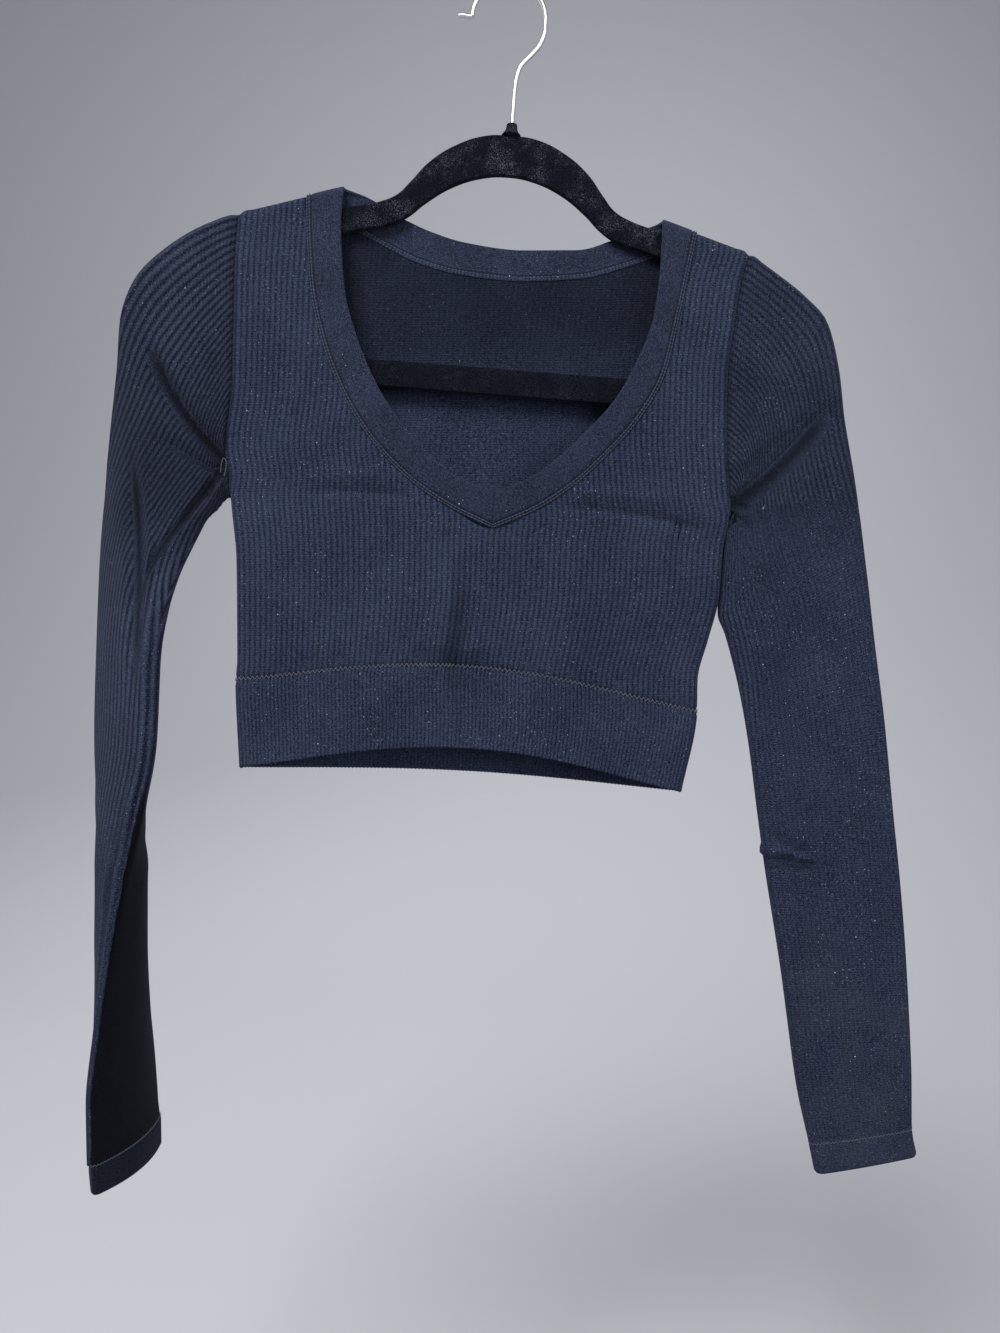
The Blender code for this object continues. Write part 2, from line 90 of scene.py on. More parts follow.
BACK_NECK = [
    (-108.8, -135.3, -134.0, -141.4), (-97.0, -138.5, -115.5, -153.5),
    (-71.7, -153.3, -85.0, -171.0), (-50.2, -163.0, -58.0, -183.5),
    (-28.8, -169.4, -32.0, -190.2), (10.0, -174.5, 10.0, -194.5),
    (45.0, -174.5, 48.0, -193.0), (68.4, -168.5, 76.0, -186.5),
    (88.0, -161.5, 102.0, -177.5), (101.4, -157.1, 124.6, -165.9),
]
EDGES = {   # height at each side fold, and how far the middle is lifted
    "front": {"waist seam": (-460.8, -482.0, 19.0), "hem": (-518.5, -535.0, 21.0)},
    "back": {"waist seam": (-460.8, -482.0, 3.0), "hem": (-519.5, -535.5, 5.0)},
}

SLEEVES = {   # centre x, centre z, half width, lean, belly, turn
    "right": [
        (-193.8, -250.4, 90.9, 85.1, 3.6, 0), (-207.8, -258.9, 85.6, 76.3, 4.0, 0),
        (-218.4, -269.5, 80.0, 68.8, 4.5, 0), (-224.6, -283.0, 72.9, 63.9, 5.0, 1),
        (-229.6, -304.3, 61.5, 57.5, 5.5, 15), (-236.5, -331.5, 55.5, 48.5, 6.0, 31),
        (-244.3, -365.5, 51.0, 38.0, 6.0, 42), (-249.3, -398.5, 48.5, 24.0, 6.0, 48),
        (-252.8, -438.0, 46.5, 9.0, 6.0, 51), (-255.1, -501.0, 46.0, 1.0, 6.5, 52),
        (-257.9, -545.0, 43.0, 0.0, 8.5, 58), (-256.3, -587.0, 38.5, 1.0, 12.5, 71),
        (-256.3, -640.0, 37.5, 2.0, 11.5, 85), (-255.5, -683.0, 37.0, 3.0, 9.5, 96),
        (-255.3, -728.0, 37.0, 5.0, 7.0, 105), (-253.8, -765.0, 36.0, 6.0, 5.5, 108),
        (-252.9, -785.0, 35.0, 4.5, 5.0, 108),
    ],
    "left": [
        (161.6, -273.0, 82.8, 79.8, 3.6, 0), (171.3, -281.8, 78.3, 71.4, 4.0, 0),
        (177.5, -292.2, 75.5, 64.4, 4.0, -2), (180.3, -311.7, 66.3, 55.3, 4.0, -4),
        (181.5, -334.0, 60.2, 48.4, 4.0, -5), (183.2, -362.6, 58.9, 41.8, 4.0, -5),
        (185.4, -386.7, 55.9, 33.3, 3.5, -3), (190.1, -410.4, 51.5, 25.1, 3.5, 0),
        (196.9, -449.9, 47.5, 18.3, 3.0, 0), (203.5, -494.6, 45.6, 8.3, 3.0, 0),
        (209.8, -552.0, 44.8, 1.3, 3.0, 0), (214.1, -588.4, 44.4, -1.3, 3.0, 0),
        (221.4, -650.4, 41.8, 0.0, 2.5, 0), (228.7, -729.4, 38.0, 4.5, 2.0, 0),
        (232.7, -762.8, 34.4, 8.4, 1.5, 0), (236.3, -781.7, 34.0, 10.2, 1.5, 0),
    ],
}
# How far the ribs swing towards the underarm, at the armhole and then at each section
RIB_SWING = {
    "right": [0, 0.066, 0.125, 0.16, 0.15, 0.12, 0.08, 0.03, 0],
    "left": [0, 0.06, 0.115, 0.15, 0.14, 0.11, 0.07, 0.03, 0],
}

# Knit: ribs on each face, points across one rib, and how far a rib stands out or shows
BODY_RIBS = 90
RIBS_ACROSS = {   # ribs on one face of a sleeve, at the armhole and then at each section
    "right": [37, 37, 36, 35, 34, 31, 28, 24, 20, 18, 18, 18, 18, 18, 18, 18, 18, 18],
    "left": [40, 40, 40, 39, 38, 37, 36, 34, 32, 31, 30, 30, 30, 30, 30, 30, 30],
}
RIBS_LOST = {   # ribs that have run off over the outer edge by then
    "right": [0, 0, 0, 0, 0.3, 1.6, 3.4, 6.0, 8.6, 10, 10, 10, 10, 10, 10, 10, 10, 10],
    "left": [0, 0, 0, 0, 0, 0, 0.5, 1.5, 2.5, 3, 3, 3, 3, 3, 3, 3, 3],
}
SLEEVE_COLUMNS = 120
WAIST_RIBS = 122
CUFF_RIBS = 34
POINTS_A_RIB = 3
RIB_RISE = 0.34
BODY_RIB_SHOW = {"front": 0.62, "back": 0.75}
TURNED_RIB_SHOW = {"front": 0.35, "back": 0.06}   # of the right sleeve, below the height next
TURNED_RIBS_END, FLAT_RIBS_END = -590, -540
CAP_CREASE = (-357, 12)     # the left cap's: its height at the body, and its rise from there
CUFF_RIB_SHOW = 0.2
BAND_RIB_RISE = 0.12
HEM_SCALLOP = 0.35
BAND_RIM = 0.9          # how far in a band's edge is rounded
BAND_SINK = 0.2         # how much further in a band's inner face lies, and a cuff's further out
INSIDE_RIB_RISE = 0.08
SEWN_WITHIN = 0.02      # grid edges this close are one edge
CLOTH_SMOOTH_ANGLE = 65
HARD_SMOOTH_ANGLE = 40
TWIN_RIDGES = (0.7, 2.5)   # the neckband's twin-needle lines, in from its seam
NECK_GROOVE = 3.5          # and the groove beyond them
COURSE = 3.7            # the knit's places count down the cloth in this length
BAND_COURSE = 2.6
RIB_ROUNDNESS = 0.8
BODY_ROWS = 88
SLEEVE_STEP = 3.3       # between rows of points down a sleeve
CUFF_STEP = 1.6
SEAM_ROW = 0.35         # a row more beside the armhole seam, as a share of the first step

# Welts (+) and grooves (-) along an edge: height, half width, how far in from the edge
ARMHOLE_WELTS = {"body": [(-1.3, 2.0, 0), (0.5, 3, 5)], "sleeve": [(0.6, 3, 5), (-1.4, 2.0, 0)]}
WAIST_WELTS = {"body": [(-0.7, 2.2, 0)], "band": [(-0.7, 1.6, 0)]}
CUFF_WELTS = [(-0.6, 1.2, 0)]
NECK_WELTS = [
    (-0.65, 0.5, NECK_GROOVE), (0.35, 0.5, TWIN_RIDGES[0]), (0.35, 0.5, TWIN_RIDGES[1]),
    (-0.5, 0.35, sum(TWIN_RIDGES) / 2), (-1.1, 0.4, 0),
]
NECK_INSIDE_WELTS = [(0.35, 0.6, 3.4), (0.35, 0.6, 1.2)]
MITRE_WELTS = [(-0.8, 0.6, 0), (0.3, 1.0, 2.0)]
TURNED_RIM_WELTS = [(1.3, 2.2, 3), (-1.1, 2.0, 8)]

# Painted shade in the grooves of the same edges: share of black, half width, how far in from the edge
SEAM_SHADES = [(0.6, 1.4, 0)]
WAIST_SHADES = [(0.45, 1.4, 0)]
TURNED_RIM_SHADES = [(0.34, 2.0, 8)]
# painted shade in the hollow of each underarm
UNDERARM_SHADE = {"right": (0.40, -335, 46), "left": (0.75, -372, 34)}   # most, height, reach
CUFF_BACK_SHADE = 0.72      # on the back of the turned sleeve's cuff, which lies in shadow

# A fold gets painted shade where it is deeper and narrower than this
SHADED_DEPTH = 1.2
SHADED_WIDTH = 9
SHADE_A_MILLIMETRE = 0.20
MOST_SHADE = 0.9

# The turned sleeve: heights where painted shade blackens its back face and where its rim shows, and how
# soon
PAINTED_BACK_SHADE_FROM = -520
RIM_SHOWS_FROM = -505
TURN_FADE = 25
SLEEVE_HALF_WIDTHS = ([-600, -350, -250], [38, 52, 80])   # by height, near enough for its rim

# Soft folds of the two panels: points down the line, half width, height, steep side if any
PANEL_FOLDS = {
    "front": [
        ([(-26, -385), (-36, -425), (-42, -452)], 17, 3.0),
        ([(-37, -366), (-40, -410), (-44, -452), (-38, -484), (-32, -530)], 11, 5.2, "left"),
        ([(-29, -370), (-31, -410), (-36, -452), (-30, -482), (-24, -512), (-20, -534)],
         6.5, -1.9, "right"),
        ([(-22, -440), (-14, -478), (-10, -516)], 13, -4.4),
        ([(-142, -336), (-100, -337), (-58, -341)], 3.6, -1.8),
        ([(-140, -328), (-95, -328), (-58, -332)], 5.5, 0.9, "right"),
        ([(24, -347), (70, -350), (118, -358), (140, -362)], 3.6, -2.0),
        ([(28, -338), (76, -341), (122, -349)], 6, 1.1, "right"),
        ([(-172, -374), (-146, -358)], 6, -0.9),
        ([(-164, -402), (-140, -386)], 6, -0.8),
        ([(-168, -436), (-128, -424)], 7, -0.6),
        ([(-155, -205), (-150, -236)], 6, -0.9),
        ([(-142, -196), (-139, -222)], 5, 0.7),
        ([(-150, -262), (-118, -250)], 6, -0.7),
        ([(-146, -292), (-120, -283)], 6, -0.6),
        ([(96, -440), (122, -452)], 7, -1.0),
        ([(58, -428), (92, -450)], 9, 0.7),
        ([(104, -372), (133, -384)], 6, -0.8),
        ([(112, -402), (130, -408)], 5, 0.7),
        ([(-100, -440), (-62, -452)], 8, -0.6),
        ([(20, -400), (64, -412)], 10, -0.6),
    ],
    "back": [
        ([(40, -420), (55, -520)], 18, 3.0),
        ([(-110, -430), (-95, -520)], 16, -2.5),
        ([(-150, -340), (-80, -352), (-20, -345)], 6, -0.9),
        ([(20, -352), (70, -344), (128, -356)], 7, -0.8),
        ([(30, -250), (60, -300), (70, -350)], 12, 0.8),
        ([(-90, -260), (-110, -300)], 10, -0.8),
    ],
}
# Gathers in the cloth just above the waist seam: x, half width, depth
WAIST_GATHERS = {
    "front": [(-163, 3, 1.3), (-151, 4, 1.5), (-134, 4, 2.0), (-111, 4, 2.1), (-82, 4, 2.3),
              (-58, 4, 2.4), (-40, 3, 1.6), (-18, 4, 2.2), (14, 4, 1.7), (41, 5, 1.8),
              (72, 4, 1.8), (101, 4, 1.5)],
    "back": [(-148, 5, 0.8), (-112, 6, 1.0), (-76, 5, 0.8), (-31, 6, 1.0), (8, 5, 0.7),
             (37, 6, 1.0), (80, 5, 0.9), (104, 5, 0.7)],
}
# Creases of the sleeves, in the same way
SLEEVE_FOLDS = {
    ("right", "front"): [
        ([(-236, -226), (-225, -248), (-213, -270), (-203, -285), (-190, -301), (-174, -318)],
         9, 2.8, "right"),
        ([(-238, -236), (-229, -256), (-218, -276), (-208, -291), (-190, -312), (-164, -338)],
         6.0, -5.0, "left"),
        ([(-238, -284), (-212, -304), (-190, -318), (-172, -326)], 4.0, 1.6),
        ([(-236, -298), (-212, -315), (-192, -325), (-176, -330)], 3.0, -2.2),
        ([(-176, -312), (-191, -334), (-206, -358), (-224, -386), (-236, -410)], 3.2, 2.4, "right"),
        ([(-184, -312), (-198, -334), (-214, -360), (-230, -386), (-238, -420)], 4.0, -3.4, "right"),
        ([(-252, -300), (-245, -340), (-240, -384), (-238, -430), (-240, -480)], 5.0, -3.4),
        ([(-240, -320), (-233, -350), (-229, -390), (-230, -440), (-232, -480)], 4, 1.7, "left"),
        ([(-260, -320), (-252, -372), (-249, -420), (-250, -470)], 6, 1.0),
        ([(-276, -310), (-270, -370), (-272, -440)], 7, -0.6),
        ([(-236, -522), (-243, -552), (-251, -576), (-256, -600)], 4.5, 1.6, "left"),
        ([(-230, -512), (-236, -540), (-245, -566)], 4, -1.3),
        ([(-249, -572), (-252, -586), (-260, -610)], 4, 1.8),
    ],
    ("right", "back"): [
        ([(-249, -570), (-248, -640), (-249, -720), (-250, -775)], 13, -3.4),
        ([(-243, -556), (-246, -600)], 6, -1.8),
        ([(-240, -236), (-214, -282), (-186, -318)], 6, -1.6),
        ([(-176, -316), (-206, -362), (-226, -392)], 4, -1.4),
        ([(-268, -510), (-240, -548)], 7, 0.9),
    ],
    ("left", "front"): [
        ([(128, -336), (148, -320), (170, -304), (190, -288), (212, -268)], 10, 2.0, "right"),
        ([(130, -356), (152, -341), (172, -325), (196, -300), (216, -276)], 8.5, -4.2, "left"),
        ([(136, -334), (148, -340), (164, -341)], 2.0, 2.0),
        ([(136, -340), (148, -345), (163, -347)], 2.0, -2.4),
        ([(136, -345), (148, -350), (161, -355)], 2.0, 2.0),
        ([(136, -350), (148, -356), (158, -362)], 2.2, -2.6),
        ([(140, -300), (160, -284), (190, -262), (206, -252)], 10, 1.0),
        ([(150, -232), (172, -246), (194, -270)], 8, -0.8),
        ([(156, -577), (172, -574), (186, -577), (210, -581)], 3.0, 3.0, "right"),
        ([(168, -560), (184, -569), (206, -577)], 2.6, -2.4),
        ([(154, -583), (178, -583), (208, -585)], 2.8, -3.6),
        ([(140, -364), (178, -355), (199, -353), (246, -346)], 1.9, -0.9),
        ([(226, -450), (236, -530)], 9, -0.9),
        ([(172, -410), (190, -465), (198, -540)], 10, -1.0),
        ([(190, -638), (236, -652)], 8, -0.7),
        ([(206, -704), (246, -690)], 7, -0.6),
    ],
    ("left", "back"): [
        ([(140, -362), (178, -318), (208, -284)], 7, -1.7),
        ([(168, -569), (205, -574), (240, -564)], 5, -1.3),
        ([(172, -584), (218, -591)], 5, 0.9),
    ],
}


# ---------------------------------------------------------------- curves through named sizes
def smooth_through(at, values, where):
    """Values read off a smooth curve that never overshoots them; the ends carry on level."""
    at, values = np.asarray(at, float), np.asarray(values, float)
    where = np.clip(where, at[0], at[-1])
    spread = (...,) + (None,) * (values.ndim - 1)
    steps = np.diff(at)[(slice(None),) + (None,) * (values.ndim - 1)]
    rises = np.diff(values, axis=0) / steps
    slopes = np.concatenate([rises[:1], np.zeros_like(rises[:-1]), rises[-1:]])
    before = 2 * steps[1:] + steps[:-1]
    after = steps[1:] + 2 * steps[:-1]
    same = rises[:-1] * rises[1:] > 0
    low = np.where(same, rises[:-1], 1)
    high = np.where(same, rises[1:], 1)
    slopes[1:-1] = np.where(same, (before + after) / (before / low + after / high), 0)
    i = np.clip(np.searchsorted(at, where, side="right") - 1, 0, len(at) - 2)
    width = (at[i + 1] - at[i])[spread]
    t = (where - at[i])[spread] / width
    return (
        values[i] * (1 + 2 * t) * (1 - t) ** 2
        + slopes[i] * width * t * (1 - t) ** 2
        + values[i + 1] * t * t * (3 - 2 * t)
        + slopes[i + 1] * width * t * t * (t - 1)
    )


def smooth_along(values, where):
    """The same through an even row of values, at places counted from the first of them, 0."""
    return smooth_through(np.arange(len(values)), values, where)


def smooth_step(value):
    t = np.clip(value, 0, 1)
    return t * t * (3 - 2 * t)


def hump(away, half_width):
    return np.exp(-((away / half_width) ** 2))


def beside(distance, lines):
    """What the welts, grooves or dark lines along an edge come to at a distance from it."""
    return sum(most * hump(distance - inwards, half_width) for most, half_width, inwards in lines)


def distance_to_line(x, z, points):
    """How far each place is from a curve, whether it is to its left, and how far along it."""
    line = smooth_along(points, np.linspace(0, len(points) - 1, 3 * len(points)))
    best = np.full(np.shape(x), 1e9)
    is_left = np.zeros(np.shape(x), bool)
    along = np.zeros(np.shape(x))
    for i, ((x0, z0), (x1, z1)) in enumerate(zip(line, line[1:])):
        run_x, run_z = x1 - x0, z1 - z0
        share = np.clip(((x - x0) * run_x + (z - z0) * run_z) / (run_x ** 2 + run_z ** 2), 0, 1)
        away = np.hypot(x - x0 - share * run_x, z - z0 - share * run_z)
        is_left = np.where(away < best, run_x * (z - z0) > run_z * (x - x0), is_left)
        along = np.where(away < best, (i + share) / (len(line) - 1), along)
        best = np.minimum(best, away)
    return best, is_left, along


def fold_at(x, z, points, half_width, height, steep=None):
    """Height of one soft ridge (+) or trough (-), steeper on one side of its line if named."""
    away, is_left, along = distance_to_line(x, z, points)
    if steep:
        half_width = np.where(is_left == (steep == "left"), STEEP_SHARE, 1.0) * half_width
    rise, start = FOLD_ENDS
    return height * hump(away, half_width) * smooth_step(rise * np.minimum(along, 1 - along) + start)


def folds_at(folds, x, z):
    total = np.zeros(np.shape(x))
    for fold in folds:
        total = total + fold_at(x, z, *fold)
    return total


def rolled(distance, radius=FOLD_RADIUS):
    """0 at a folded edge and 1 from a fold radius inside it, along a quarter circle."""
    reach = np.clip(distance / radius, 0, 1)
    return np.sqrt(1 - (1 - reach) ** 2)


def in_from_fold(length):
    """How far in from a folded edge a length of cloth measured round the fold comes."""
    angle = np.clip(length / FOLD_RADIUS, 0, math.pi / 2)
    return np.where(
        length < FOLD_RADIUS * math.pi / 2, FOLD_RADIUS * (1 - np.cos(angle)), length - FOLD_SPARE
    )


def rounded_edge(distance, radius):
    """How far a cloth edge falls away from its face near its rim."""
    reach = np.clip(1 - distance / radius, 0, 1)
    return -radius * (1 - np.sqrt(1 - reach ** 2))


def fold_shade(x, z, folds):
    """How much painted shade each place gets from lying deep in a narrow fold, from 0 to 1."""
    shade = np.zeros(np.shape(x))
    for points, half_width, height, *steep in folds:
        if height < -SHADED_DEPTH and half_width < SHADED_WIDTH:
            width = half_width * (0.9 if steep else 0.5)
            shade = shade - SHADE_A_MILLIMETRE * fold_at(x, z, points, width, height, *steep)
    return np.clip(shade, 0, MOST_SHADE)


# ---------------------------------------------------------------- form of the body
def side_x(side, z):
    heights, xs = zip(*reversed(SIDES[side]))
    return smooth_through(heights, xs, z)


def ridge_z(u):
    right_z, right_x = SIDES["right"][0]
    left_z, left_x = SIDES["left"][0]
    ends = [(right_x, right_z), FRONT_NECK[0][:2], FRONT_NECK[-1][:2], (left_x, left_z)]
    x = right_x * (1 - u) + left_x * u
    return np.interp(x, [end[0] for end in ends], [end[1] for end in ends])


def armhole_depth(side, z):
    top, underarm = ARMHOLE[side]
    t = np.clip((top - z) / (top - underarm), 0, 1)
    return FOLD_RADIUS * rolled(top - z) * rolled(z - underarm) + ARMHOLE_BELLY * 4 * t * (1 - t)


def body_depth(face, u, x, z):
    """How far a panel's outer surface stands from the middle plane."""
    below = ridge_z(u) - z
    right, left = side_x("right", z), side_x("left", z)
    in_from_side = np.minimum(u, 1 - u) * (left - right)
    on_right = u < 0.5
    top = np.where(on_right, ARMHOLE["right"][0], ARMHOLE["left"][0])
    underarm = np.where(on_right, ARMHOLE["right"][1], ARMHOLE["left"][1])
    open_side = rolled(np.maximum(z - underarm, 0))
    edge = 1 - (1 - rolled(in_from_side)) * (1 - open_side)
    across = 4 * u * (1 - u)
    bow = BODY_BELLY[face] * smooth_step(below / BELLY_DROP) * across
    t = np.clip((top - z) / (top - underarm), 0, 1)
    bow = bow + ARMHOLE_BELLY * 4 * t * (1 - t) * (1 - across) ** 4
    depth = FOLD_RADIUS * rolled(below) * edge + bow
    return depth + folds_at(PANEL_FOLDS[face], x, z) * smooth_step(in_from_side / FOLD_FADE)


def open_share(share, z):
    """1 where the panel's side is the open armhole, 0 where it is the side fold."""
    underarm = np.where(share < 0.5, ARMHOLE["right"][1], ARMHOLE["left"][1])
    return smooth_step((z - underarm) / ARMHOLE_BLEND)


def place_across(share, z):
    """x of a rib at a height; share is its place across the panel's own cloth."""
    right, left = side_x("right", z), side_x("left", z)
    width = left - right
    cloth = width + 2 * FOLD_SPARE
    length = np.minimum(share, 1 - share) * cloth
    is_open = open_share(share, z)
    inside = (1 - is_open) * in_from_fold(length) + is_open * length * width / cloth
    return np.where(share < 0.5, right + inside, left - inside)


def share_at(x, z):
    """The rib that passes a place away from the side folds."""
    right, left = side_x("right", z), side_x("left", z)
    width = left - right
    cloth = width + 2 * FOLD_SPARE
    inside = np.minimum(x - right, left - x)
    is_open = open_share((x - right) / width, z)
    length = (inside + (1 - is_open) * FOLD_SPARE) / ((1 - is_open) + is_open * width / cloth)
    return np.where(x - right < left - x, length, cloth - length) / cloth


def across_of(x, z):
    right, left = side_x("right", z), side_x("left", z)
    return (x - right) / (left - right)


def edge_z(face, edge, u):
    right, left, lift = EDGES[face][edge]
    return right * (1 - u) + left * u + lift * np.sin(math.pi * np.clip(u, 0, 1)) ** EDGE_LIFT_POWER


def waist_seam_z(face, share):
    """Height of the waist seam at each rib, whose place across depends on that height."""
    z = edge_z(face, "waist seam", share)
    for _ in range(2):
        z = edge_z(face, "waist seam", across_of(place_across(share, z), z))
    return z


def on_body(face, x, z):
    """Points of a face's outer surface at places across and up."""
    depth = body_depth(face, across_of(x, z), x, z)
    return np.stack([x, -depth if face == "front" else depth, z], axis=-1)


# ---------------------------------------------------------------- cloth
def plain_faces(rows, columns, flip):
    """Corners of a grid's faces, by point number, anticlockwise seen from outside."""
    i, j = np.meshgrid(np.arange(rows - 1), np.arange(columns - 1), indexing="ij")
    first = (i * columns + j).ravel()
    corners = [first, first + columns, first + columns + 1, first + 1]
    return np.stack(corners[::-1] if flip else corners, axis=-1)


def cloth(name, sheets, wall, finish, inside, slot):
    """A cloth of one or more grids sewn where their edges meet, with an inner skin and rims.

    Each sheet has points (rows, columns, 3), its relief off that surface, the relief of its
    inner skin, its knit places (rows, columns, 2), whether its faces run the other way, how
    strongly its ribs show (ribbed) and how much painted shade darkens it (shaded), from 0 to 1.
    """
    usual = {"relief": 0.0, "inner": 0.0, "ribbed": 1.0, "shaded": 0.0}
    gathered = {key: [] for key in ("points", "places", "faces", *usual)}
    start = 0
    for sheet in sheets:
        rows, columns = sheet["points"].shape[:2]
        for key in ("points", "places"):
            gathered[key].append(sheet[key].reshape(rows * columns, -1))
        for key, value in usual.items():
            spread = np.broadcast_to(sheet.get(key, value), (rows, columns))
            gathered[key].append(spread.reshape(-1))
        gathered["faces"].append(plain_faces(rows, columns, sheet["flip"]) + start)
        start += rows * columns
    whole = {key: np.concatenate(parts) for key, parts in gathered.items()}
    mesh = bpy.data.meshes.new(name)
    mesh.from_pydata((whole["points"] * MM).tolist(), [], whole["faces"].tolist())
    knit = mesh.uv_layers.new(name="knit")
    knit.data.foreach_set("uv", whole["places"][whole["faces"].reshape(-1)].reshape(-1))
    carried = {
        "outer": whole["relief"] * MM, "inner": (whole["inner"] - wall) * MM,
        "ribbed": whole["ribbed"], "shaded": whole["shaded"],
    }
    for label, values in carried.items():
        mesh.attributes.new(label, "FLOAT", "POINT").data.foreach_set("value", values)
    sewn = bmesh.new()
    sewn.from_mesh(mesh)
    bmesh.ops.remove_doubles(sewn, verts=sewn.verts, dist=SEWN_WITHIN * MM)
    sewn.normal_update()
    add_inner_skin(sewn)
    sewn.to_mesh(mesh)
    sewn.free()
    for label in ("outer", "inner"):
        mesh.attributes.remove(mesh.attributes[label])
    made = add_object(name, mesh)
    mesh.materials.append(finish)
    mesh.materials.append(inside)
    select_only(made)
    bpy.ops.object.shade_smooth_by_angle(angle=math.radians(CLOTH_SMOOTH_ANGLE))
    ready(made)
    return made


def add_inner_skin(sewn):
    """Doubles a cloth inwards and closes it round its open edges."""
    rise = sewn.verts.layers.float["outer"]
    sink = sewn.verts.layers.float["inner"]
    knit = sewn.loops.layers.uv["knit"]
    rims = []
    for edge in sewn.edges:
        if edge.is_boundary:
            loop = edge.link_loops[0]
            rims.append((loop.vert, loop.link_loop_next.vert, loop[knit].uv.copy(),
                         loop.link_loop_next[knit].uv.copy()))
    outward = {vertex: vertex.normal.copy() for vertex in sewn.verts}
    twins = bmesh.ops.duplicate(sewn, geom=sewn.verts[:] + sewn.edges[:] + sewn.faces[:])
    twin_of = twins["vert_map"]
    twin_faces = [part for part in twins["geom"] if isinstance(part, bmesh.types.BMFace)]
    bmesh.ops.reverse_faces(sewn, faces=twin_faces)
    for face in twin_faces:
        face.material_index = 1
    for vertex, normal in outward.items():
        twin_of[vertex].co += normal * vertex[sink]
        vertex.co += normal * vertex[rise]
    for first, second, first_place, second_place in rims:
        rim = sewn.faces.new([second, first, twin_of[first], twin_of[second]])
        for loop, place in zip(rim.loops, (second_place, first_place, first_place, second_place)):
            loop[knit].uv = place


def add_object(name, data):
    made = bpy.data.objects.new(name, data)
    bpy.context.scene.collection.objects.link(made)
    return made


def ready(made):
    """Says which body a finished piece rides on."""
    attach(made, "root")


def select_only(*wanted):
    bpy.ops.object.select_all(action="DESELECT")
    for piece in wanted:
        piece.select_set(True)
    bpy.context.view_layer.objects.active = wanted[0]


def select_in_edit(made, parts, chosen):
    """Goes into edit mode with only the chosen polygons or edges of a piece selected."""
    bpy.ops.object.mode_set(mode="EDIT")
    bpy.ops.mesh.select_all(action="DESELECT")
    bpy.ops.object.mode_set(mode="OBJECT")
    for part in getattr(made.data, parts):
        part.select = chosen(part)
    bpy.ops.object.mode_set(mode="EDIT")


def rib_wave(ribs):
    """Rounded ridges with narrow valleys between: 1 on a rib, 0 between ribs."""
    return (0.5 + 0.5 * np.cos(2 * math.pi * ribs)) ** RIB_ROUNDNESS


def make_body(finish, inside):
    """Front and back in one knitted tube, sewn at the shoulders, open at neck and armholes."""
    columns = np.linspace(0, 1, BODY_RIBS * POINTS_A_RIB + 1)
    rows = np.linspace(0, 1, BODY_ROWS)[:, None]
    sheets = []
    for face, table in (("front", FRONT_NECK), ("back", BACK_NECK)):
        neck = smooth_along(table, np.linspace(0, len(table) - 1, 400))
        seam_share = share_at(neck[:, 2], neck[:, 3])
        order = np.argsort(seam_share)
        in_neck = (columns >= seam_share.min()) & (columns <= seam_share.max())
        neck_seam = np.interp(columns, seam_share[order], neck[order, 3])
        top = np.where(in_neck, neck_seam, ridge_z(columns))
        bottom = waist_seam_z(face, columns)
        z = top - in_from_fold(rows * (top - bottom + FOLD_SPARE))
        share = np.broadcast_to(columns, z.shape)
        x = place_across(share, z)
        ribs = share * BODY_RIBS
        from_waist = z - bottom
        from_side = np.minimum(x - side_x("right", z), side_x("left", z) - x)
        is_open = open_share(share, z)
        strength = smooth_step(from_waist / 5)
        strength = strength * np.where(in_neck, smooth_step((top - z + 2) / 4), 1.0)
        relief = RIB_RISE * BODY_RIB_SHOW[face] * rib_wave(ribs) * strength
        relief = relief + beside(from_side, ARMHOLE_WELTS["body"]) * is_open
        relief = relief + beside(from_waist, WAIST_WELTS["body"])
        for middle, half_width, depth in WAIST_GATHERS[face]:
            relief = relief - depth * hump(x - middle, half_width) * hump(from_waist - 5, 6)
        shade = fold_shade(x, z, PANEL_FOLDS[face])
        shade = shade + beside(from_side, SEAM_SHADES) * is_open + beside(from_waist, WAIST_SHADES)
        sheets.append({
            "points": on_body(face, x, z), "places": np.stack([ribs, z / COURSE], axis=-1),
            "relief": relief, "inner": -INSIDE_RIB_RISE * rib_wave(ribs * 2),
            "flip": face == "back", "ribbed": BODY_RIB_SHOW[face], "shaded": shade,
        })
    return cloth("body_cloth", sheets, PANEL_WALL, finish, inside, "rib_knit")


def make_waistband(finish, inside):
    """The wide waistband: one knitted tube from the waist seam to the hem."""
    columns = np.linspace(0, 1, WAIST_RIBS * POINTS_A_RIB + 1)
    rows = np.concatenate([np.linspace(0, 0.96, 14), [0.975, 0.985, 0.993, 1]])[:, None]
    share = np.broadcast_to(columns, (len(rows), len(columns)))
    ribs = share * WAIST_RIBS
    sheets = []
    for face in ("front", "back"):
        u = columns
        for _ in range(3):
            seam, hem = edge_z(face, "waist seam", u), edge_z(face, "hem", u)
            z = seam * (1 - rows) + hem * rows
            u = across_of(place_across(share, z), z)
        points = on_body(face, place_across(share, z), z)
        from_hem, from_seam = z - hem, seam - z
        points[..., 2] -= HEM_SCALLOP * np.cos(2 * math.pi * ribs) * hump(from_hem, 0.8)
        relief = BAND_RIB_RISE * rib_wave(ribs) * smooth_step(from_seam / 3)
        relief = relief + 0.25 + beside(from_seam, WAIST_WELTS["band"])
        rim = rounded_edge(from_hem, BAND_RIM)
        sheets.append({
            "points": points, "places": np.stack([ribs, -z / BAND_COURSE], axis=-1),
            "relief": relief + rim, "inner": -BAND_SINK - rim - BAND_RIB_RISE * rib_wave(ribs),
            "flip": face == "back",
        })
    return cloth("waistband", sheets, BAND_WALL, finish, inside, "band_knit")


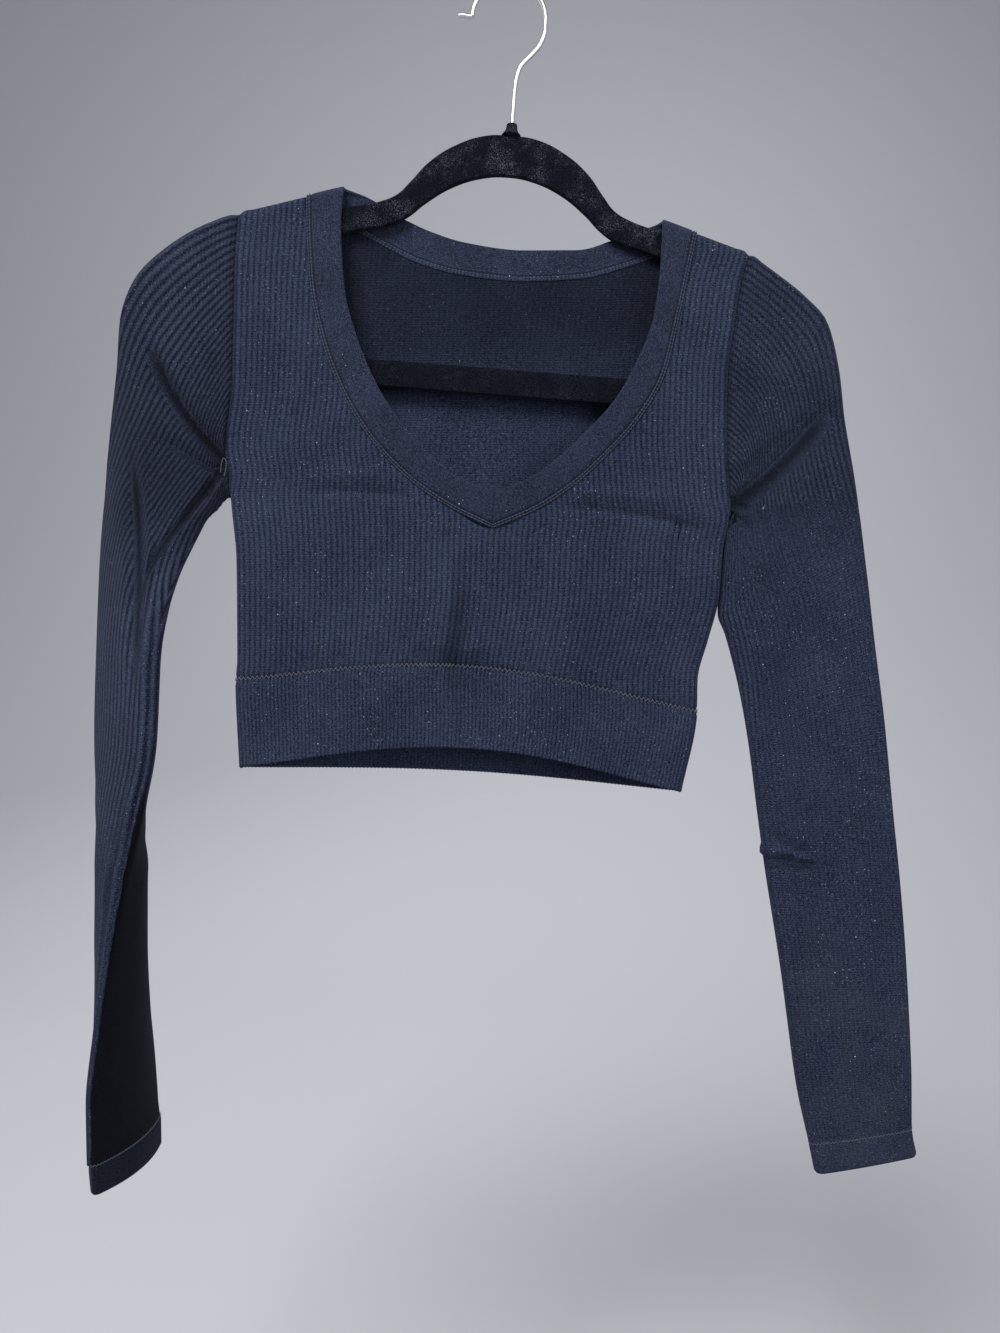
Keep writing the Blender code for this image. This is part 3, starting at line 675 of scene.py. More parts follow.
# ---------------------------------------------------------------- neckband
def neck_side(end):
    """Rows of the front neckband from the point of the V to an end, crowding together there."""
    low, high = min(V_ROW, end), max(V_ROW, end)
    places = end + (V_ROW - end) * (1 - np.linspace(0, 1, 100)) ** NECK_ROWS_CROWD
    return smooth_through(np.arange(low, high + 1), FRONT_NECK[low:high + 1], places)


def neck_loop():
    """Once round the neck from the point of the V: face, then rows of inner and outer edge."""
    turn = np.linspace(0, math.pi, 150)
    back = smooth_along(BACK_NECK, (len(BACK_NECK) - 1) * (1 - np.cos(turn)) / 2)
    left = neck_side(len(FRONT_NECK) - 1)[::-1]
    return [("front", neck_side(0)), ("back", back[1:]), ("front", left[1:])]


def make_neckband(finish, inside):
    """The folded neckband: rolled at the opening, twin-needle ridges along its seam."""
    across = np.concatenate([
        [0, 0.012, 0.03, 0.055, 0.09], np.linspace(0.13, 0.80, 10), np.linspace(0.825, 1.0, 19),
    ])
    points = []
    for face, rows in neck_loop():
        inner, outer = rows[:, None, :2], rows[:, None, 2:]
        place = inner + (outer - inner) * across[None, :, None]
        points.append(on_body(face, place[..., 0], place[..., 1]))
    points = np.concatenate(points)
    middle = points[:, len(across) // 2]
    along = np.concatenate([[0], np.cumsum(np.linalg.norm(np.diff(middle, axis=0), axis=1))])
    width = np.linalg.norm(points[:, -1] - points[:, 0], axis=-1)[:, None]
    from_inner, from_outer = width * across, width * (1 - across)
    relief = 0.7 + rounded_edge(from_inner, 1.1) + 0.3 * np.sin(math.pi * across) ** 0.5
    from_point = np.minimum(along, along[-1] - along)[:, None]
    relief = relief + beside(from_outer, NECK_WELTS) + beside(from_point, MITRE_WELTS)
    sheet = {
        "points": points, "relief": relief, "flip": False,
        "places": np.stack(np.broadcast_arrays(from_outer, along[:, None]), axis=-1),
        "inner": -beside(from_outer, NECK_INSIDE_WELTS) - rounded_edge(from_inner, 0.6),
    }
    return cloth("neckband", [sheet], BAND_WALL, finish, inside, "neck_knit")


# ---------------------------------------------------------------- sleeves
def face_ring(side, section, t, face):
    """Points across one face of a sleeve's flattened section."""
    centre_x, centre_z, half, lean, belly, turn = section
    body_side = 1 if side == "right" else -1
    lean, turn = math.radians(lean), math.radians(turn)
    to_body = np.array([
        body_side * math.cos(lean) * math.cos(turn), -math.cos(lean) * math.sin(turn), -math.sin(lean),
    ])
    to_front = np.array([-body_side * math.sin(turn), -math.cos(turn), 0])
    t = t[:, None]
    radius = FOLD_RADIUS - RIM_SHARPENS * smooth_step((abs(section[5]) - 50) / 30)
    depth = radius * rolled(2 * half * np.minimum(t, 1 - t), radius)
    depth = depth + (belly + FOLD_RADIUS - radius) * 4 * t * (1 - t)
    centre = np.array([centre_x, 0, centre_z])
    return centre + to_body * half * (2 * t - 1) + to_front * face * depth


def armhole_edge(side, t, face):
    top, underarm = ARMHOLE[side]
    z = top + (underarm - top) * t
    return np.stack([side_x(side, z), -face * armhole_depth(side, z), z], axis=-1)


def sleeve_faces(side, where, share):
    """Points of the front and back face: rows down the sleeve, ribs across it.

    where counts sections from the armhole, 0, down; share is a rib's place across.
    """
    table = SLEEVES[side]
    fine = np.concatenate([
        (1 - np.cos(np.linspace(0, math.pi / 2, 40))) * 0.12, np.linspace(0.12, 0.88, 160)[1:-1],
        1 - (1 - np.cos(np.linspace(math.pi / 2, 0, 40))) * 0.12,
    ])
    swing = smooth_along(RIB_SWING[side], where)
    half = [(ARMHOLE[side][0] - ARMHOLE[side][1]) / 2] + [row[2] for row in table]
    width = 2 * smooth_along(half, where)[:, None]
    cloth_width = width + 2 * FOLD_SPARE
    length = np.minimum(share, 1 - share) * cloth_width
    t = in_from_fold(length) / width
    t = np.where(share < 0.5, t, 1 - t)
    t = t + swing[:, None] * 4 * t * (1 - t)
    faces = []
    for face in (1, -1):
        rings = [armhole_edge(side, fine, face)]
        rings += [face_ring(side, section, fine, face) for section in table]
        rings = smooth_along(np.stack(rings), where)
        rows = [
            np.stack([np.interp(t[i], fine, rings[i, :, axis]) for axis in range(3)], axis=-1)
            for i in range(len(where))
        ]
        faces.append(np.stack(rows))
    return faces


def even_rows(side, first, last, step):
    """Section places at even steps down the sleeve's middle, in millimetres."""
    top, underarm = ARMHOLE[side]
    start = [float(side_x(side, (top + underarm) / 2)), (top + underarm) / 2]
    fine = np.linspace(first, last, 800)
    path = smooth_along([start] + [row[:2] for row in SLEEVES[side]], fine)
    run = np.concatenate([[0], np.cumsum(np.hypot(*np.diff(path, axis=0).T))])
    count = max(3, round(run[-1] / step) + 1)
    return np.interp(np.linspace(0, run[-1], count), run, fine), np.linspace(0, run[-1], count)


def rib_show(side, face, share, z):
    """How strongly a sleeve's ribs stand out: 1 in full, near 0 where the knit is flat."""
    if side == "right":
        least = TURNED_RIB_SHOW[face]
        return least + (1 - least) * smooth_step((z - TURNED_RIBS_END) / 60)
    height, rise = CAP_CREASE
    above = smooth_step((z - height - rise * (1 - share)) / 6)
    on_cap = 0.62 + 0.30 * smooth_step((share - 0.3) / 0.6)
    on_arm = 0.22 + 0.45 * smooth_step((share - 0.68) / 0.25) * smooth_step((z - FLAT_RIBS_END) / 120)
    return above * on_cap + (1 - above) * on_arm


def rim_of_sleeve(side, share, z):
    """Relief and painted shade of a sleeve's front beside its body-side edge: in the underarm, and along
    the turned sleeve's rim.
    """
    from_edge = (1 - share) * 2 * np.interp(z, *SLEEVE_HALF_WIDTHS)
    most, height, reach = UNDERARM_SHADE[side]
    shade = most * hump(z - height, reach)
    if side == "left":
        return 0 * z, shade * smooth_step((9 - from_edge) / 7)
    turned = smooth_step((RIM_SHOWS_FROM - z) / TURN_FADE)
    shade = shade * smooth_step((share - 0.08) / 0.3) + turned * beside(from_edge, TURNED_RIM_SHADES)
    return turned * beside(from_edge, TURNED_RIM_WELTS), shade


def make_sleeve(side, finish, inside):
    """A sleeve, one knitted tube from the armhole seam to the cuff's."""
    where, run = even_rows(side, 0, len(SLEEVES[side]) - 1, SLEEVE_STEP)
    where, run = (np.insert(rows, 1, [rows[1] * SEAM_ROW]) for rows in (where, run))
    share = np.linspace(0, 1, SLEEVE_COLUMNS + 1)
    across, lost = (smooth_along(table[side], where)[:, None] for table in (RIBS_ACROSS, RIBS_LOST))
    ribs = share * across + lost
    from_seam = np.broadcast_to(run[:, None], ribs.shape)
    sheets = []
    for face, points in zip(("front", "back"), sleeve_faces(side, where, share[None, :])):
        x, z = points[..., 0], points[..., 2]
        folds = SLEEVE_FOLDS[side, face]
        relief = folds_at(folds, x, z) + beside(from_seam, ARMHOLE_WELTS["sleeve"])
        shade = fold_shade(x, z, folds) + beside(from_seam, SEAM_SHADES)
        if face == "front":
            rim_relief, rim_shade = rim_of_sleeve(side, share, z)
            relief, shade = relief + rim_relief, shade + rim_shade
        elif side == "right":
            # painted shade: below this height the turned sleeve's back face is mixed to near black
            shade = shade + smooth_step((PAINTED_BACK_SHADE_FROM - z) / TURN_FADE)
        sheets.append({
            "points": points, "places": np.stack([ribs, from_seam / COURSE], axis=-1),
            "relief": relief, "inner": -INSIDE_RIB_RISE * rib_wave(ribs * 2),
            "flip": (side == "left") == (face == "front"),
            "ribbed": rib_show(side, face, share[None, :], z), "shaded": np.clip(shade, 0, 1),
        })
    return cloth(f"sleeve_cloth_{side}", sheets, PANEL_WALL, finish, inside, "rib_knit")


def make_cuff(side, finish, inside):
    """The doubled end of a sleeve, from the cuff seam down."""
    last = len(SLEEVES[side])
    where, run = even_rows(side, last - 1, last, CUFF_STEP)
    share = np.linspace(0, 1, CUFF_RIBS * POINTS_A_RIB + 1)
    from_seam = np.broadcast_to(run[:, None], (len(run), len(share)))
    ribs = np.broadcast_to(share * CUFF_RIBS, from_seam.shape)
    rim = rounded_edge(run[-1] - from_seam, BAND_RIM)
    sheets = []
    for face, points in zip(("front", "back"), sleeve_faces(side, where, share[None, :])):
        in_shadow = side == "right" and face == "back"
        sheets.append({
            "points": points, "places": np.stack([ribs, from_seam / BAND_COURSE], axis=-1),
            "relief": BAND_SINK + beside(from_seam, CUFF_WELTS) + rim, "inner": -BAND_SINK - rim,
            "flip": (side == "left") == (face == "front"),
            "ribbed": CUFF_RIB_SHOW, "shaded": CUFF_BACK_SHADE if in_shadow else 0.0,
        })
    return cloth(f"cuff_cloth_{side}", sheets, BAND_WALL, finish, inside, "band_knit")


# ---------------------------------------------------------------- stitching
CUFF_ZIGZAG = (2.3, 1.1, 0.12, 0.17)    # pitch, rise, how proud, radius of the thread
WAIST_ZIGZAG = (3.1, 2.1, 0.1, 0.30)
LOOSE_THREAD = [
    (-188.8, -10.4, -325.5), (-187.6, -12.0, -319.4), (-186.2, -12.4, -316.6),
    (-184.6, -12.2, -319.0), (-185.0, -11.6, -324.0), (-186.4, -10.8, -327.8),
]
LOOSE_THREAD_RADIUS = 0.20


def add_thread(name, points, radius, finish, closed=False):
    """A thread laid through points, as a mesh tube."""
    curve = bpy.data.curves.new(name, "CURVE")
    curve.dimensions = "3D"
    curve.bevel_depth = radius * MM
    curve.bevel_resolution = 1
    curve.use_fill_caps = True
    spline = curve.splines.new("POLY")
    spline.points.add(len(points) - 1)
    for knot, point in zip(spline.points, points):
        knot.co = (*(point * MM), 1)
    spline.use_cyclic_u = closed
    made = add_object(name, curve)
    curve.materials.append(finish)
    select_only(made)
    bpy.ops.object.convert(target="MESH")
    bpy.ops.object.shade_smooth()
    ready(made)
    return made


def around(front, back):
    """A closed path round a flattened tube and the way out from it at each point."""
    path = np.concatenate([front, back[-2:0:-1]])
    step = np.roll(path, -1, axis=0) - np.roll(path, 1, axis=0)
    outward = np.stack([step[:, 1], -step[:, 0], np.zeros(len(path))], axis=-1)
    outward /= np.linalg.norm(outward, axis=1)[:, None]
    return path, outward


def zigzag(path, outward, pitch, rise, proud):
    """Points of a zigzag stitch along a closed path."""
    loop = np.concatenate([path, path[:1]])
    run = np.concatenate([[0], np.cumsum(np.linalg.norm(np.diff(loop, axis=0), axis=1))])
    ways = np.concatenate([outward, outward[:1]])
    teeth = round(run[-1] / pitch)
    at = np.linspace(0, run[-1], 2 * teeth + 1)[:-1]
    middle = np.stack([np.interp(at, run, loop[:, axis]) for axis in range(3)], axis=-1)
    out = np.stack([np.interp(at, run, ways[:, axis]) for axis in range(3)], axis=-1)
    up = np.where(np.arange(len(at)) % 2 == 0, rise / 2, -rise / 2)
    return middle + out * proud + np.stack([0 * up, 0 * up, up], axis=-1)


def stitch_round(name, path, outward, sizes, finish):
    """A closed zigzag of thread: its pitch, rise, how proud it lies and its radius."""
    pitch, rise, proud, radius = sizes
    points = zigzag(path, outward, pitch, rise, proud)
    return add_thread(name, points, radius, finish, closed=True)


def make_cuff_stitches(side, finish):
    """The fine zigzag round a sleeve where the cuff begins."""
    share = np.linspace(0, 1, 240)
    front, back = sleeve_faces(side, np.array([len(SLEEVES[side]) - 1.0]), share[None, :])
    path, outward = around(front[0], back[0])
    way = 1 if side == "right" else -1
    return stitch_round(f"cuff_stitches_{side}", path, way * outward, CUFF_ZIGZAG, finish)


def make_waist_stitches(finish):
    """The zigzag line of stitching round the waist seam."""
    share = np.linspace(0, 1, 500)
    rings = []
    for face in ("front", "back"):
        z = waist_seam_z(face, share)
        rings.append(on_body(face, place_across(share, z), z))
    return stitch_round("waist_stitches", *around(*rings), WAIST_ZIGZAG, finish)


def make_thread_end(finish):
    """A loose loop of seam thread at the right underarm."""
    points = smooth_along(LOOSE_THREAD, np.linspace(0, len(LOOSE_THREAD) - 1, 40))
    return add_thread("loose_thread", points, LOOSE_THREAD_RADIUS, finish)


# ---------------------------------------------------------------- hanger
HANGER_THICK = 5.0
HANGER_EDGE = 1.4
HANGER_TILT = 4.5
HANGER_FOOT = (1.3, -102.1)
ARM_TOP = [
    (0, 0.7), (16, -0.3), (36, -8.2), (53, -21), (64, -34.5), (72, -43.5), (82, -48.8),
    (105, -55), (135, -62), (160, -69), (174, -76), (187, -84.5), (200, -93), (209, -103),
]
ARM_END = [(213.5, -113), (210, -124), (204, -137), (197, -153), (189, -165.5), (176, -171.3)]
BAR_BOTTOM = [(120, -171.3), (0, -171.3)]
ARM_BOTTOM = [
    (0, -26), (16, -27.8), (36, -35.5), (53, -47.5), (64, -57.5), (74, -63.5), (84, -66.5),
    (105, -72), (135, -79), (160, -87), (176, -96), (188, -107),
]
ARM_INSIDE = [(192.5, -119), (188, -134), (182, -147), (171, -153.5)]
BAR_TOP = [(120, -153.5), (0, -153.5)]
HOOK_RADIUS = 24.5
WIRE_RADIUS = 1.5
HOOK_CRANK = [(24.0, -31.0), (20.8, -40.0), (14.0, -48.0), (7.6, -55.0), (4.9, -63.0)]
HOOK_TIP = [(-26.5, -21.6), (-30.0, -20.8), (-33.4, -21.0)]
STEM_HEIGHTS = (30, 20, 10, 1.2)
COLLAR_FOOT, COLLAR_RADIUS, COLLAR_DEPTH = 1.2, 6.4, 0.8    # of the disc that it is drawn up from
COLLAR_STEPS = ((1.4, 0.80), (1.4, 0.83), (1.6, 0.88), (2.6, 0.95))   # rise, and how much narrower
COLLAR_LIP, COLLAR_CROWN, COLLAR_EDGE = 0.9, 0.5, 0.5


def hanger_point(across, up):
    tilt = math.radians(HANGER_TILT)
    x = HANGER_FOOT[0] + across * math.cos(tilt) + up * math.sin(tilt)
    return (x, HANGER_FOOT[1] - across * math.sin(tilt) + up * math.cos(tilt))


def hanger_place():
    return (HANGER_FOOT[0] * MM, 0, HANGER_FOOT[1] * MM)


def add_outline(curve, half):
    """A closed outline from its half, which starts and ends on the middle line."""
    points = half + [(-across, up) for across, up in half[-2:0:-1]]
    spline = curve.splines.new("BEZIER")
    spline.bezier_points.add(len(points) - 1)
    for knot, (across, up) in zip(spline.bezier_points, points):
        knot.co = (across * MM, up * MM, 0)
        knot.handle_left_type = knot.handle_right_type = "AUTO"
    spline.use_cyclic_u = True


def set_down(made, place, turn):
    """Gives a piece its place and turn in its mesh, its object left at the origin."""
    made.location = place
    made.rotation_euler = turn
    select_only(made)
    bpy.ops.object.transform_apply(location=True, rotation=True, scale=True)


def make_hanger(finish):
    """The moulded body under its flock: arch, arms and trouser bar with soft edges."""
    curve = bpy.data.curves.new("flocked_hanger", "CURVE")
    curve.dimensions = "2D"
    curve.fill_mode = "BOTH"
    curve.resolution_u = 8
    curve.extrude = (HANGER_THICK / 2 - HANGER_EDGE) * MM
    curve.bevel_depth = HANGER_EDGE * MM
    curve.offset = -HANGER_EDGE * MM
    curve.bevel_resolution = 4
    add_outline(curve, ARM_TOP + ARM_END + BAR_BOTTOM)
    add_outline(curve, ARM_BOTTOM + ARM_INSIDE + BAR_TOP)
    made = add_object("flocked_hanger", curve)
    curve.materials.append(finish)
    select_only(made)
    bpy.ops.object.convert(target="MESH")
    set_down(made, hanger_place(), (math.pi / 2, math.radians(HANGER_TILT), 0))
    bpy.ops.object.mode_set(mode="EDIT")
    bpy.ops.mesh.select_all(action="SELECT")
    bpy.ops.mesh.remove_doubles(threshold=0.00001)
    bpy.ops.mesh.normals_make_consistent(inside=False)
    bpy.ops.object.mode_set(mode="OBJECT")
    bpy.ops.object.shade_smooth_by_angle(angle=math.radians(HARD_SMOOTH_ANGLE))
    ready(made)
    return made


def make_collar(finish):
    """The tapered collar at the foot of the hook, turned from a cylinder."""
    bpy.ops.object.select_all(action="DESELECT")
    foot = Vector((0, 0, COLLAR_FOOT * MM))
    bpy.ops.mesh.primitive_cylinder_add(
        vertices=48, radius=COLLAR_RADIUS * MM, depth=COLLAR_DEPTH * MM, location=foot
    )
    made = bpy.context.object
    made.name = "flocked_collar"
    made.data.name = "flocked_collar"
    select_in_edit(made, "polygons", lambda face: face.normal.z > 0.9)
    for rise, narrow in COLLAR_STEPS:
        bpy.ops.mesh.extrude_region_move(TRANSFORM_OT_translate={"value": (0, 0, rise * MM)})
        bpy.ops.transform.resize(value=(narrow, narrow, 1), center_override=foot)
    bpy.ops.mesh.inset(thickness=COLLAR_LIP * MM)
    bpy.ops.transform.translate(value=(0, 0, COLLAR_CROWN * MM))
    bpy.ops.object.mode_set(mode="OBJECT")
    made.data.materials.append(finish)
    soften = made.modifiers.new("soft edges", "BEVEL")
    soften.width = COLLAR_EDGE * MM
    soften.segments = 3
    soften.angle_limit = math.radians(30)
    bpy.ops.object.modifier_apply(modifier="soft edges")
    set_down(made, foot, (0, 0, 0))
    set_down(made, hanger_place(), (0, math.radians(HANGER_TILT), 0))
    bpy.ops.object.shade_smooth_by_angle(angle=math.radians(HARD_SMOOTH_ANGLE))
    ready(made)
    return made


def make_hook(finish):
    """The hook: one wire from its turned-out tip over the top and down into the collar."""
    low = HOOK_RADIUS - WIRE_RADIUS
    route = HOOK_TIP[::-1]
    for degrees in range(176, -12, -11):
        angle = math.radians(degrees)
        route = route + [(HOOK_RADIUS * math.cos(angle), HOOK_RADIUS * math.sin(angle) - low)]
    route = route + HOOK_CRANK + [hanger_point(0, up) for up in STEM_HEIGHTS]
    x, z = smooth_along(route, np.linspace(0, len(route) - 1, 260)).T
    return add_thread("hook", np.stack([x, 0 * x, z], axis=-1), WIRE_RADIUS, finish)


# ---------------------------------------------------------------- finishes
class Number:
    """A shader value that can be reckoned with like a number."""

    def __init__(self, finish, socket):
        self.finish, self.socket = finish, socket

    def reckon(self, operation, first, second):
        return self.finish.made("ShaderNodeMath", {"operation": operation}, first, second)

    def __add__(self, other):
        return self.reckon("ADD", self, other)

    def __sub__(self, other):
        return self.reckon("SUBTRACT", self, other)

    def __rsub__(self, other):
        return self.reckon("SUBTRACT", other, self)

    def __mul__(self, other):
        return self.reckon("MULTIPLY", self, other)

    def __truediv__(self, other):
        return self.reckon("DIVIDE", self, other)

    def __pow__(self, other):
        return self.reckon("POWER", self, other)

    def __lt__(self, other):
        return self.reckon("LESS_THAN", self, other)

    __radd__ = __add__
    __rmul__ = __mul__

    def wave(self):
        """Cosine of a full turn for each whole number."""
        return self.reckon("COSINE", self * (2 * math.pi), 0.0)

    def part(self):
        """What is left above the whole number."""
        return self.reckon("FRACT", self, 0.0)

    def size(self):
        return self.reckon("ABSOLUTE", self, 0.0)

    def ramp(self, low, high):
        """0 at low and below, 1 at high and above, eased between."""
        node = self.finish.node(
            "ShaderNodeMapRange", {"interpolation_type": "SMOOTHSTEP", "clamp": True},
            {"Value": self, "From Min": low, "From Max": high, "To Min": 0.0, "To Max": 1.0},
        )
        return Number(self.finish, node.outputs["Result"])


class Finish:
    """A material and its nodes."""

    def __init__(self, name):
        self.material = bpy.data.materials.new(name)
        self.material.use_nodes = True
        self.tree = self.material.node_tree
        self.shader = self.tree.nodes["Principled BSDF"]

    def put(self, socket, value):
        if isinstance(value, Number):
            self.tree.links.new(value.socket, socket)
        elif isinstance(value, bpy.types.NodeSocket):
            self.tree.links.new(value, socket)
        else:
            socket.default_value = value

    def node(self, kind, settings, sockets):
        """A node of a type, its settings first and then its sockets."""
        made = self.tree.nodes.new(kind)
        for name, value in settings.items():
            setattr(made, name, value)
        for name, value in sockets.items():
            self.put(made.inputs[name], value)
        return made

    def made(self, kind, settings, *values):
        return Number(self, self.node(kind, settings, dict(enumerate(values))).outputs[0])

    def mix(self, factor, first, second):
        """Two colours mixed; the colours are tuples of four or sockets."""
        node = self.node(
            "ShaderNodeMix", {"data_type": "RGBA"}, {0: factor, 6: first, 7: second}
        )
        return node.outputs[2]

    def coordinates(self, name):
        return self.node("ShaderNodeTexCoord", {}, {}).outputs[name]

    def knit_places(self):
        """Place across the cloth and place along it, as its maker counted them."""
        places = self.node("ShaderNodeUVMap", {"uv_map": "knit"}, {}).outputs["UV"]
        parts = self.node("ShaderNodeSeparateXYZ", {}, {"Vector": places})
        return Number(self, parts.outputs["X"]), Number(self, parts.outputs["Y"])

    def share_of(self, name):
        """A share from 0 to 1 that the cloth's points carry."""
        return Number(self, self.node("ShaderNodeAttribute", {"attribute_name": name}, {}).outputs["Fac"])

    def height(self, where):
        """Height above the hook's seat, in metres."""
        return Number(self, self.node("ShaderNodeSeparateXYZ", {}, {"Vector": where}).outputs["Z"])

    def noise(self, where, scale, detail=2.0, roughness=0.5):
        made = self.node(
            "ShaderNodeTexNoise", {},
            {"Vector": where, "Scale": scale, "Detail": detail, "Roughness": roughness},
        )
        return Number(self, made.outputs["Fac"])

    def specks(self, where, scale, size, share):
        """Small dots, one in some of the cells of a scatter."""
        made = self.node("ShaderNodeTexVoronoi", {}, {"Vector": where, "Scale": scale, "Randomness": 1.0})
        away = Number(self, made.outputs["Distance"])
        pick = self.node("ShaderNodeSeparateColor", {}, {"Color": made.outputs["Color"]})
        chosen = Number(self, pick.outputs["Red"]) < share
        weight = Number(self, pick.outputs["Green"])
        return (1 - away.ramp(size * 0.3, size)) * chosen * (0.35 + 0.65 * weight)

    def bump(self, height, strength, distance):
        sockets = {"Height": height, "Strength": strength, "Distance": distance}
        return self.node("ShaderNodeBump", {}, sockets).outputs["Normal"]

    def dressed(self, **surface):
        """The material, its shader's sockets given a number, a colour or a link by name."""
        for name, value in surface.items():
            self.put(self.shader.inputs[name.replace("_", " ")], value)
        return self.material


# Colours of the yarn, the dust on it and the rest
NAVY_DEEP = (0.0034, 0.0048, 0.0104, 1)
NAVY = (0.0170, 0.0232, 0.0452, 1)
NAVY_PALE = (0.0480, 0.0600, 0.0940, 1)
FADED = (0.0290, 0.0270, 0.0330, 1)
LINT = (0.42, 0.46, 0.54, 1)
# black, mixed into the knit as painted shade
BLACK = (0, 0, 0, 1)
NAVY_SHEEN = (0.50, 0.58, 0.85, 1)
BAND_SHEEN = (0.50, 0.58, 0.80, 1)
TWIN_THREAD = (0.066, 0.078, 0.108, 1)
SEAM_THREAD = ((0.026, 0.033, 0.050, 1), (0.085, 0.102, 0.138, 1))
FLOCK = ((0.0008, 0.0012, 0.0022, 1), (0.0052, 0.0066, 0.0108, 1))
FLOCK_HAZE = (0.060, 0.068, 0.086, 1)
FLOCK_DUST = (0.27, 0.29, 0.33, 1)
FLOCK_SHEEN = (0.70, 0.78, 1.0, 1)
PLATED = ((0.50, 0.50, 0.50, 1), (0.60, 0.60, 0.60, 1))

# How fine each noise is, to the metre: stitches, fuzz, and the cloth's cast in patches
LOOP_SCALE, FUZZ_SCALE, CAST_SCALE, BROAD_SCALE = 1700.0, 980.0, 30.0, 8.0
NAP_SCALE = 1500.0
BAND_WEAVE, BAND_COURSES, BAND_STITCH = 1.15, 0.95, 2.4    # lengths that its pattern repeats in


def knit_colour(made, tone):
    """Blue-black yarn by tone: painted shade between stitches, its own grain, painted highlight on high
    points.
    """
    ground = made.mix(tone.ramp(0.0, 0.55), NAVY_DEEP, NAVY)
    return made.mix(tone.ramp(0.42, 1.25), ground, NAVY_PALE)


def lint_on(made, where, ground, share):
    """Specks of lint and dust of two sizes, more of them in some places than in others."""
    patch = made.noise(where, 26.0, 2.0).ramp(0.30, 0.62)
    fine = made.specks(where, 430.0, 0.20, share)
    coarse = made.specks(where, 150.0, 0.085, share * 0.6)
    cover = ((fine * 0.7 + coarse * 1.2) * (0.4 + 0.6 * patch)).ramp(0.0, 1.0)
    return made.mix(cover * 0.85, ground, LINT)


def knit_finish(name, painted_rib_shading, lint_share, grain, rib_rise=0.3, level=0.45, painted_shade=None):
    """Blue-black stretch knit: ribs along the cloth, small stitches, fuzz and lint.

    level is how pale it is; the last, two heights and how much painted shade darkens it from one to the
    other.
    """
    made = Finish(name)
    across, along = made.knit_places()
    where = made.coordinates("Object")
    height = made.height(where)
    ribbed, shaded = made.share_of("ribbed"), made.share_of("shaded")
    rib = (0.5 + 0.5 * across.wave()) ** 0.65
    lean = ((across * 3).part() - 0.5).size()
    loops = made.noise(where, LOOP_SCALE, 2.0, 0.6)
    fuzz = made.noise(where, FUZZ_SCALE, 2.0, 0.7)
    cast = made.noise(where, CAST_SCALE, 3.0)
    broad = made.noise(where, BROAD_SCALE, 2.0)
    stitch = (0.5 + 0.5 * (along * 2.3 + lean * 0.9).wave()) * (0.3 + 1.4 * loops)
    # The rib and stitch terms paint shade between ribs and stitches and highlight on them; the noise
    # terms are the yarn's own grain and cast.
    tone = level + ribbed * (rib - 0.6) * painted_rib_shading + (loops - 0.5) * 2.6 * grain
    tone = tone + (fuzz - 0.5) * 2.2 * grain + (stitch - 0.5) * 0.34 * grain
    tone = tone + (cast - 0.5) * 0.35 + (broad - 0.5) * 0.3
    faded = height.ramp(-0.60, -0.70) * cast.ramp(0.35, 0.65)
    ground = made.mix(faded * 0.22, knit_colour(made, tone), FADED)
    # Painted shade: where the cloth is shaded, lint is left off and black is mixed in.
    colour = made.mix(1 - shaded, ground, lint_on(made, where, ground, lint_share))
    colour = made.mix(shaded * 0.92, colour, BLACK)
    # Painted shade by height, growing from the first height to the second.
    if painted_shade:
        pale_height, dark_height, most = painted_shade
        colour = made.mix(height.ramp(pale_height, dark_height) * most, colour, BLACK)
    relief = stitch * 0.30 + fuzz * 0.65 + rib * ribbed * rib_rise + loops * 0.7
    return made.dressed(
        Base_Color=colour, Roughness=0.90 - 0.1 * (fuzz - 0.5), Normal=made.bump(relief, 0.8, 0.0007),
        Sheen_Weight=0.05, Sheen_Roughness=0.5, Sheen_Tint=NAVY_SHEEN, Specular_IOR_Level=0.06,
    )


def band_finish(name):
    """Smooth doubled knit of the neckband, its seam's twin lines of stitching showing, with painted shade
    in the groove beyond them.
    """
    made = Finish(name)
    from_seam, along = made.knit_places()
    where = made.coordinates("Object")
    weave = 0.5 + 0.5 * (from_seam / BAND_WEAVE).wave()
    lean = ((from_seam / BAND_WEAVE).part() - 0.5).size()
    course = 0.5 + 0.5 * (along / BAND_COURSES + lean).wave()
    fuzz = made.noise(where, 1350.0, 2.0, 0.6)
    loops = made.noise(where, 640.0, 3.0, 0.75)
    cast = made.noise(where, CAST_SCALE, 3.0)
    tone = 0.31 + (weave - 0.5) * 0.16 + (course - 0.5) * 0.14 + (fuzz - 0.5) * 1.7
    tone = tone + (loops - 0.5) * 1.3 + (cast - 0.5) * 0.35
    stitches = 0.5 + 0.5 * (along / BAND_STITCH).wave()
    lines = 0.0
    for ridge in TWIN_RIDGES:
        lines = lines + (1 - (from_seam - ridge).size().ramp(0.15, 0.6)) * stitches
    groove_shade = 1 - (from_seam - NECK_GROOVE).size().ramp(0.1, 0.7)
    mitre = 1 - along.ramp(0.4, 1.2)
    colour = knit_colour(made, tone)
    # the groove's painted shade, and the dark mitre seam at the V
    for dark_line in (groove_shade, mitre):
        colour = made.mix(dark_line * 0.8, colour, NAVY_DEEP)
    colour = made.mix(lines.ramp(0.0, 1.0) * 0.55, colour, TWIN_THREAD)
    relief = weave * 0.25 + course * 0.25 + fuzz * 0.7 + loops * 0.9 + lines * 0.6
    return made.dressed(
        Base_Color=lint_on(made, where, colour, 0.22), Roughness=0.88 - 0.1 * (fuzz - 0.5),
        Normal=made.bump(relief, 0.7, 0.0006),
        Sheen_Weight=0.09, Sheen_Roughness=0.5, Sheen_Tint=BAND_SHEEN, Specular_IOR_Level=0.10,
    )


